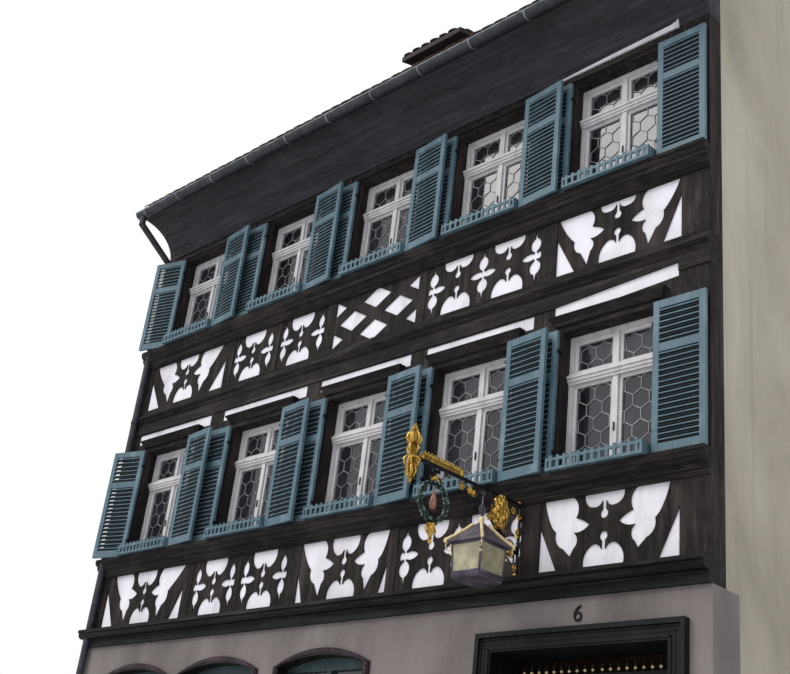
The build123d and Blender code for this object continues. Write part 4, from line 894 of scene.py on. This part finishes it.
KNOBS = ((4.24, 0.020), (4.90, 0.020), (4.58, 0.016))
KNOB_OUT, FOOT_STAY_R, ARM_STAY_RADII = 0.045, 0.008, (0.010, 0.010, 0.009, 0.006)


def scroll(build, start, turn, size, way, radius):
    """Flat spiral that thins towards its middle, where it returns its end point."""
    path = []
    for t in evenly(0, 1, SCROLL_STEPS):
        angle = radians(turn) + way * t * SCROLL_TURNS * 2 * pi
        r = size * (1 - SCROLL_SHRINK * t)
        path.append((r * cos(angle), r * sin(angle)))
    shift = (start[0] - path[0][0], start[1] - path[0][1])
    points = [sign_point(out + shift[0], level + shift[1]) for out, level in path]
    build.tube(points, evenly(radius, radius * SCROLL_THINNING, SCROLL_STEPS))
    return points[-1]


def add_bracket_scrolls(gilding):
    """Iron scrolls and stays, with a gilded flower in each scroll and a few along the bracket."""
    scrolls = Build()
    centres = [scroll(scrolls, *values) for values in SCROLLS]
    centres += [sign_point(out + FLOWER_OUT, level) for out, level in FLOWERS]
    for x, y, z in centres:
        gilding.ball((x, y, z), FLOWER_R)
        for angle in turns(PETALS):
            petal = (x, y + PETAL_OUT * cos(angle), z + PETAL_OUT * sin(angle))
            gilding.ball(petal, *PETAL)
    scrolls.tube([sign_point(*place) for place in FOOT_STAY], FOOT_STAY_R)
    scrolls.tube([sign_point(*place) for place in ARM_STAY], ARM_STAY_RADII)
    for z, radius in KNOBS:
        gilding.ball(sign_point(KNOB_OUT, z), radius)
    scrolls.obj("bracket_scrolls", IRON, smooth=True)


# Bunch of gilded leaves between the strut and the arm
BUNCH_OUT, BUNCH_Z, BUNCH_ROWS, ROW_STEP, ROW_LEAVES = 0.30, 4.62, 8, 0.034, 7
BUNCH_HALF, BUNCH_FLATNESS, BUNCH_LEAF = 0.085, 0.55, (0.036, (0.62, 0.62, 1.15), 6, 8)
ROWS_BELOW, ROWS_BEYOND, CORE_DROP = 1.2, 1.6, 0.02
BUNCH_CORE = ((0.010, 0), (0.055, 0.05), (0.060, 0.15), (0.012, 0.27))
BUNCH_CURL, BUNCH_CURL_RADII = ((0.0, 0.0), (0.05, -0.04), (0.10, -0.02)), (0.016, 0.012, 0.004)


def add_bunch():
    bunch = Build()
    for row in range(BUNCH_ROWS):
        width = BUNCH_HALF * sin(pi * (row + ROWS_BELOW) / (BUNCH_ROWS + ROWS_BEYOND))
        for angle in turns(ROW_LEAVES, 0.5 * (row % 2)):
            x = SIGN_X + BUNCH_FLATNESS * width * cos(angle)
            y = FRONT - BUNCH_OUT + width * sin(angle)
            bunch.ball((x, y, BUNCH_Z + row * ROW_STEP), *BUNCH_LEAF)
    bunch.lathe(BUNCH_CORE, sign_point(BUNCH_OUT, BUNCH_Z - CORE_DROP), 12)
    for side in (-1, 1):
        curl = [sign_point(BUNCH_OUT - side * out, BUNCH_Z + rise) for out, rise in BUNCH_CURL]
        bunch.tube(curl, BUNCH_CURL_RADII)
    bunch_object = bunch.obj("gilded_bunch", GOLD, smooth=True)
    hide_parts("sign_sunflower")


# Gilded board with comb teeth and rope edges, and the buds at the end of the arm
TEETH, TOOTH_START, TOOTH_PITCH, TOOTH_Z, ROPE_Z = 25, 0.85, 0.02, 4.948, 4.905
TOOTH, ROPE_TURN = (0.0095, (1.4, 1, 1.6), 5, 8), (0.008, (1.6, 1, 1), 5, 8)
BOARD_ENDS, BOARD_END_Z, BOARD_END = (0.84, 1.34), 4.92, (0.026, (0.8, 1, 1.4))
TIP_OUT = 1.46
TIP_Y = FRONT - TIP_OUT
BUD = ((0.010, 0), (0.030, 0.02), (0.040, 0.06), (0.032, 0.10), (0.015, 0.14), (0.003, 0.175))
BUD_FOOT = ((0.018, 0), (0.030, 0.012), (0.016, 0.03), (0.008, 0.045), (0.012, 0.06))
DROP = ((0.003, -0.225), (0.014, -0.20), (0.010, -0.16), (0.022, -0.11), (0.016, -0.05), (0.012, 0.01))
# Turned buds: profile, level, sides, lobes, depth of the lobes
BUDS = ((BUD, 4.995, 24, 6, 0.2), (BUD_FOOT, 4.865, 16, 4, 0.15), (DROP, 4.86, 16, 4, 0.2))
# Rings of curled leaves: count, turn, radii along the leaf, and its path as (out of the axis, level)
CROWN_LEAF = ((0.012, 4.985), (0.046, 5.00), (0.062, 5.03), (0.054, 5.065), (0.030, 5.10), (0.012, 5.135))
NECK_LEAF = ((0.008, 4.90), (0.040, 4.915), (0.056, 4.945), (0.046, 4.975), (0.020, 4.992))
SKIRT_LEAF = ((0.010, 4.862), (0.052, 4.872), (0.070, 4.845), (0.058, 4.80), (0.066, 4.785))
DROP_LEAF = ((0.008, 4.84), (0.030, 4.80), (0.040, 4.75), (0.026, 4.71), (0.034, 4.69))
LEAF_RADII = (0.009, 0.013, 0.012, 0.008, 0.002)
LEAF_RINGS = (
    (6, 0.0, (0.008, 0.013, 0.015, 0.012, 0.007, 0.002), CROWN_LEAF),
    (4, 0.125, (0.007, 0.012, 0.013, 0.010, 0.006), NECK_LEAF),
    (5, 0.3, LEAF_RADII, SKIRT_LEAF),
    (4, 0.5, LEAF_RADII, DROP_LEAF),
)


def add_bracket_gilding(gilding):
    for k in range(TEETH):
        out = TOOTH_START + TOOTH_PITCH * k
        gilding.ball(sign_point(out, TOOTH_Z), *TOOTH)
        gilding.ball(sign_point(out, ROPE_Z), *ROPE_TURN)
    for out in BOARD_ENDS:
        gilding.ball(sign_point(out, BOARD_END_Z), *BOARD_END)
    for profile, level, *shape in BUDS:
        gilding.lathe(profile, (SIGN_X, TIP_Y, level), *shape)
    for count, turn, radii, path in LEAF_RINGS:
        for angle in turns(count, turn):
            dx, dy = cos(angle), sin(angle)
            leaf = [(SIGN_X + out * dx, TIP_Y + out * dy, level) for out, level in path]
            gilding.tube(leaf, radii, 7)
    gilding.obj("bracket_gilding", GOLD, smooth=True)


EYE_R, EYE_BORE, EYE_HALF = 0.015, 0.0075, 0.026
STEM_TOP = 4.832


def eye(build, y):
    """Bored barrel that hangs on the level pin under the arm."""
    section = ((EYE_R, EYE_HALF), (EYE_R, -EYE_HALF), (EYE_BORE, -EYE_HALF), (EYE_BORE, EYE_HALF))
    rows = []
    for radius, end in section:
        circle = [(radius * cos(a), radius * sin(a)) for a in turns(20)]
        rows.append([(SIGN_X + along, y + end, PIN_Z + up) for along, up in circle])
    build.sleeve(rows, loop=True)


# Wreath: leaves round a thin ring, with the small vessel, the plate and the lobed pendant
WREATH = Vector((SIGN_X, WREATH_Y, 4.575))
GARLAND, GARLAND_R, GARLAND_SIDES = 0.160, 0.009, 32
SPRIGS, SPRIG_LEAVES, SPRIG_ROLL, HIGHLIGHT_SHARE = 46, 5, 0.37, 0.26
LEAF_BASE, LEAF_OUT, LEAF_ALONG, LEAF_BELLY = 0.006, 0.021, 0.024, 0.004
OUT_PLAY, ALONG_PLAY, SPRIG_RADII = 0.003, 0.006, (0.003, 0.0068, 0.0012)
WREATH_ROD_FOOT, WREATH_ROD_R = 0.15, 0.006
PLATE_W, PLATE_T, PLATE_Z = 0.124, 0.016, (4.385, 4.480)
HORN = ((0.01, 0.20), (0.05, 0.215), (0.075, 0.19), (0.06, 0.165))
CURL = ((0.0, -0.20), (0.045, -0.215), (0.060, -0.255), (0.040, -0.28))
HORN_RADII, CURL_RADII = (0.007, 0.010, 0.008, 0.003), (0.012, 0.012, 0.009, 0.004)
PENDANT_FOOT = ((0.004, -0.17), (0.018, -0.145), (0.010, -0.115), (0.034, -0.06))
PENDANT, PENDANT_Z = (*PENDANT_FOOT, (0.022, -0.02), (0.040, 0.0), (0.012, 0.015)), -0.195
PENDANT_LOBE = 0.2
WREATH_KNOBS = ((0.0, 0.205, 0.024), (-0.03, 0.19, 0.018), (0.03, 0.19, 0.018))
CORD_TOP, CORD_FOOT, CORD_R, VESSEL_Z = 0.158, 0.075, 0.004, 0.005
VESSEL = ((0.016, -0.075), (0.026, -0.06), (0.034, -0.015), (0.026, 0.03), (0.016, 0.05), (0.022, 0.075))


def in_wreath(along, up):
    """Point in the plane of the wreath, from its middle."""
    return WREATH.x, WREATH.y + along, WREATH.z + up


def add_wreath_leaves():
    leaves, highlight_leaves = Build(), Build()
    for step, angle in enumerate(turns(SPRIGS)):
        out = Vector((0, cos(angle), sin(angle)))
        along = Vector((0, -sin(angle), cos(angle)))
        for k in range(SPRIG_LEAVES):
            roll = 2 * pi * (k / SPRIG_LEAVES + SPRIG_ROLL * step)
            away = out * cos(roll) + Vector((1, 0, 0)) * sin(roll)
            base = WREATH + out * GARLAND + away * LEAF_BASE
            reach = away * (LEAF_OUT + dice.uniform(-OUT_PLAY, OUT_PLAY))
            tip = base + reach + along * (LEAF_ALONG + dice.uniform(-ALONG_PLAY, ALONG_PLAY))
            # About a quarter of the leaves, picked at random, are pale painted highlights
            work = highlight_leaves if dice.random() < HIGHLIGHT_SHARE else leaves
            middle = base.lerp(tip, 0.5) + away * LEAF_BELLY
            work.tube([base, middle, tip], SPRIG_RADII, 5)
    leaf_ring = leaves.obj("wreath_leaves", VERDIGRIS, "wreath", smooth=True)
    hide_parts("sign_wreath")
    highlight_leaves.obj("wreath_pale_leaves", VERDIGRIS_HIGHLIGHT, "wreath", smooth=True)


def add_wreath_frame():
    iron = Build()
    circle = [in_wreath(GARLAND * cos(a), GARLAND * sin(a)) for a in turns(GARLAND_SIDES)]
    iron.tube(circle, GARLAND_R, closed=True)
    iron.box(*around(WREATH.x, PLATE_T / 2), *around(WREATH.y, PLATE_W / 2), *PLATE_Z)
    iron.tube([in_wreath(0, WREATH_ROD_FOOT), (WREATH.x, WREATH.y, STEM_TOP)], WREATH_ROD_R)
    eye(iron, WREATH.y)
    for side in (-1, 1):
        iron.tube([in_wreath(side * along, up) for along, up in HORN], HORN_RADII)
    iron.obj("wreath_frame", IRON, "wreath")


def add_wreath_gilding():
    gilding = Build()
    gilding.lathe(PENDANT, in_wreath(0, PENDANT_Z), 20, 4, PENDANT_LOBE)
    for side in (-1, 1):
        gilding.tube([in_wreath(side * along, up) for along, up in CURL], CURL_RADII)
    for along, up, radius in WREATH_KNOBS:
        gilding.ball(in_wreath(along, up), radius)
    gilding.obj("wreath_gilding", GOLD, "wreath", smooth=True)


def add_vessel():
    vessel = Build()
    vessel.tube([in_wreath(0, CORD_TOP), in_wreath(0, CORD_FOOT)], CORD_R)
    vessel.lathe(VESSEL, in_wreath(0, VESSEL_Z), 16)
    vessel.obj("wreath_vessel", COPPER, "wreath", smooth=True)


# Lantern: hipped roof with gilded scallops, panes in frames, tray with a lace edge
LANTERN = Vector((SIGN_X, LANTERN_Y, 0))
EAVE_Z, APEX_Z, PANE_TOP, PANE_BOTTOM = 4.378, 4.563, 4.372, 4.096
EAVE_HALF, APEX_HALF, TOP_HALF, BOTTOM_HALF = 0.208, 0.030, 0.166, 0.150
# Square outlines of the roof and of the tray, as (half side, level)
EAVE_RINGS = ((EAVE_HALF - 0.014, EAVE_Z - 0.012), (EAVE_HALF, EAVE_Z - 0.010), (EAVE_HALF, EAVE_Z + 0.004))
ROOF_RINGS = (*EAVE_RINGS, (0.150, 4.428), (0.088, 4.494), (0.044, 4.545), (APEX_HALF, APEX_Z))
TRAY_HALF = BOTTOM_HALF + 0.010
TRAY_RINGS = ((0.134, 4.066), (0.150, 4.071), (TRAY_HALF, 4.086), (TRAY_HALF, PANE_BOTTOM))
HIP = ((EAVE_HALF, EAVE_Z + 0.006), (0.150, 4.434), (0.088, 4.500), (0.044, 4.552))
HIP_BEADS, HIP_BEAD, HIP_BEAD_UP = 5, (0.0155, (1, 1, 1.1), 5, 8), 0.006
EAVE_BALL_R, EAVE_BALL_DROP, CORNER_POST_R = 0.017, 0.002, 0.010
PANE_KNOBS, PANE_KNOB_R, PANE_KNOB_OUT = (0.10, 0.38), 0.0125, 0.006
PANE_RAIL_DROP, PANE_RAIL_T, PANE_RAIL_W = 0.012, 0.014, 0.022
LACE_COUNT, LACE_DROP, LACE_OUT, LACE = 10, 0.030, 0.004, (0.011, (1, 1, 1.2), 5, 8)
CURL_STEPS, CURL_START, CURL_SWEEP, CURL_R, CURL_SHRINK = 18, 70, 300, 0.040, 0.65
CURL_Z, CURL_STRETCH, CURL_IN, CURL_ENDS = 4.330, 1.25, 0.028, (0.0055, 0.0035)
CROWN = ((0.024, 0), (0.036, 0.012), (0.020, 0.03), (0.030, 0.05), (0.010, 0.075))
RING_Z, RING_HALF, RING_RISE, RING_R = 4.69, 0.034, 0.045, 0.007
STEM_T, STEM_W, STEM_SUNK, CROWN_SUNK = 0.012, 0.016, 0.01, 0.006
CORNERS = ((-1, -1), (1, -1), (1, 1), (-1, 1))


def corner(signs, half, z):
    return Vector((LANTERN.x + signs[0] * half, LANTERN.y + signs[1] * half, z))


def tapered(build, rings):
    """Square body through a list of (half side, level) pairs."""
    build.sleeve([[tuple(corner(signs, half, z)) for signs in CORNERS] for half, z in rings])


def lantern_curl(build, signs):
    """Gilded curl under a corner of the eaves."""
    diagonal = Vector((*signs, 0)).normalized()
    start = corner(signs, EAVE_HALF - CURL_IN, 0)
    path = []
    for t in evenly(0, 1, CURL_STEPS):
        angle = radians(CURL_START - CURL_SWEEP * t)
        r = CURL_R * (1 - CURL_SHRINK * t)
        rise = Vector((0, 0, CURL_Z + r * CURL_STRETCH * sin(angle)))
        path.append(start + diagonal * (r * cos(angle)) + rise)
    build.tube(path, evenly(*CURL_ENDS, CURL_STEPS), 6)


def lantern_corner(iron, gilding, signs, next_signs):
    """Hip, corner post and curl at one corner, with the rails and the lace edge to the next."""
    hip = [corner(signs, half, z) for half, z in HIP]
    for a, b in zip(hip, hip[1:]):
        for k in range(HIP_BEADS):
            bead = a.lerp(b, k / HIP_BEADS) + Vector((0, 0, HIP_BEAD_UP))
            gilding.ball(bead, *HIP_BEAD)
    gilding.ball(corner(signs, EAVE_HALF, EAVE_Z - EAVE_BALL_DROP), EAVE_BALL_R)
    top, low = corner(signs, TOP_HALF, PANE_TOP), corner(signs, BOTTOM_HALF, PANE_BOTTOM)
    iron.tube([top, low], CORNER_POST_R)
    for share in PANE_KNOBS:
        knob_out = Vector((signs[0] * PANE_KNOB_OUT, signs[1] * PANE_KNOB_OUT, 0))
        gilding.ball(top.lerp(low, share) + knob_out, PANE_KNOB_R)
    top_next = corner(next_signs, TOP_HALF, PANE_TOP)
    low_next = corner(next_signs, BOTTOM_HALF, PANE_BOTTOM)
    outward = Vector(((signs[0] + next_signs[0]) / 2, (signs[1] + next_signs[1]) / 2, 0)).normalized()
    drop = Vector((0, 0, PANE_RAIL_DROP))
    for p, q in ((top - drop, top_next - drop), (low + drop, low_next + drop)):
        iron.bar(p, q, outward, PANE_RAIL_T, PANE_RAIL_W)
    for k in range(LACE_COUNT):
        p = low.lerp(low_next, (k + 0.5) / LACE_COUNT) + Vector((0, 0, -LACE_DROP)) + outward * LACE_OUT
        iron.ball(p, *LACE)
    lantern_curl(gilding, signs)


def add_lantern():
    gilding, iron, shell, glass = Build(), Build(), Build(), Build()
    x, y = LANTERN.x, LANTERN.y
    tapered(glass, ((BOTTOM_HALF, PANE_BOTTOM), (TOP_HALF, PANE_TOP)))
    tapered(shell, ROOF_RINGS)
    tapered(shell, TRAY_RINGS)
    iron.bar((x, y, APEX_Z - STEM_SUNK), (x, y, STEM_TOP), (1, 0, 0), STEM_T, STEM_W)
    eye(iron, y)
    for number, signs in enumerate(CORNERS):
        lantern_corner(iron, gilding, signs, CORNERS[(number + 1) % 4])
    gilding.lathe(CROWN, (x, y, APEX_Z - CROWN_SUNK))
    ring = [(x, y + RING_HALF * cos(a), RING_Z + RING_RISE * sin(a)) for a in turns(16)]
    iron.tube(ring, RING_R, closed=True)
    shell_object = shell.obj("lantern_body", LANTERN_METAL, "lantern", bevel=WORN_EDGE)
    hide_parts("sign_lantern")
    glass_object = glass.obj("lantern_glazing", LANTERN_GLASS, "lantern")
    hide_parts("lantern_panes")
    iron.obj("lantern_bars", LANTERN_METAL, "lantern", smooth=True)
    gilding.obj("lantern_gilding", PALE_GOLD, "lantern", smooth=True)


def add_sign():
    gilding = Build()
    add_bracket_scrolls(gilding)
    add_bunch()
    add_bracket_gilding(gilding)
    add_wreath_leaves()
    add_wreath_frame()
    add_wreath_gilding()
    add_vessel()
    add_lantern()


add_shutters()
add_leading()
add_timbers()
add_beads()
add_arches()
add_gate_trim()
add_door_surround()
add_roof_tiles()
add_ridge_covers()
add_gutter_trim()
add_cove_battens()
add_head_strip()
add_rear_trim()
add_sign()


# Stage, light and camera
FLOOR_REACH, FLOOR_Z, FLOOR_PATCHES, FLOOR_ROUGH = 60, -0.002, 0.4, 0.9
PALE_GREY, LIGHT_GREY = (206.41, 206.41, 206.41), (212.23, 212.23, 212.23)
SKY, SKY_STRENGTH, BACKDROP_STRENGTH = (0.93, 0.96, 1.0, 1), 0.85, 1.0
SUN_STRENGTH, SUN_WIDTH, SUN_COLOUR, SUN_HEIGHT, SUN_TURN = 1.6, 40, (1.0, 0.98, 0.95), 42, -28
# The camera's place is in metres and its heading, tilt and roll are in degrees, as worked out from
# the photograph's vanishing points
EYE_PLACE = (9.18, -12.0, 1.5)
HEADING, TILT, ROLL = 47.14059, 25.48090, 6.97638
FOCAL_LENGTH, FILM_WIDTH, FARTHEST = 54.18, 36, 200


def add_floor():
    reach, z = FLOOR_REACH, FLOOR_Z
    mesh = bpy.data.meshes.new("floor")
    square = [(-reach, -reach, z), (reach, -reach, z), (reach, reach, z), (-reach, reach, z)]
    mesh.from_pydata(square, [], [(0, 1, 2, 3)])
    floor = add_object("floor", mesh)
    g = graph("floor_paint")
    patches = g.noise(g.coords, FLOOR_PATCHES, 3)
    g.skin(g.ramp(patches, ((0.3, PALE_GREY), (0.7, LIGHT_GREY))), FLOOR_ROUGH)
    mesh.materials.append(g.material)


def set_world():
    """Soft sky light on the house, and plain white where the camera sees past it."""
    world = bpy.data.worlds.new("studio")
    SCENE.world = world
    world.use_nodes = True
    nodes = Graph(world.node_tree)
    sky = nodes.add("Background", {"Color": SKY, "Strength": SKY_STRENGTH})
    white = nodes.add("Background", {"Color": (1, 1, 1, 1), "Strength": BACKDROP_STRENGTH})
    seen = nodes.add("LightPath").outputs["Is Camera Ray"]
    mixer = nodes.add("MixShader", {0: seen, 1: sky.outputs[0], 2: white.outputs[0]})
    nodes.add("OutputWorld", {"Surface": mixer.outputs[0]})


def add_sun():
    sun = bpy.data.lights.new("sky_light", "SUN")
    sun.energy = SUN_STRENGTH
    sun.angle = radians(SUN_WIDTH)
    sun.color = SUN_COLOUR
    sun_object = add_object("sky_light", sun)
    sun_object.rotation_euler = (radians(SUN_HEIGHT), 0, radians(SUN_TURN))


def add_camera():
    camera = bpy.data.cameras.new("camera")
    camera.lens = FOCAL_LENGTH
    camera.sensor_width = FILM_WIDTH
    camera.clip_end = FARTHEST
    camera_object = add_object("camera", camera)
    heading = Matrix.Rotation(radians(HEADING), 4, "Z")
    tilt = Matrix.Rotation(radians(90 + TILT), 4, "X")
    roll = Matrix.Rotation(radians(ROLL), 4, "Z")
    camera_object.matrix_world = Matrix.Translation(EYE_PLACE) @ heading @ tilt @ roll
    SCENE.camera = camera_object


add_floor()
set_world()
add_sun()
add_camera()
SCENE.view_settings.view_transform = "Standard"
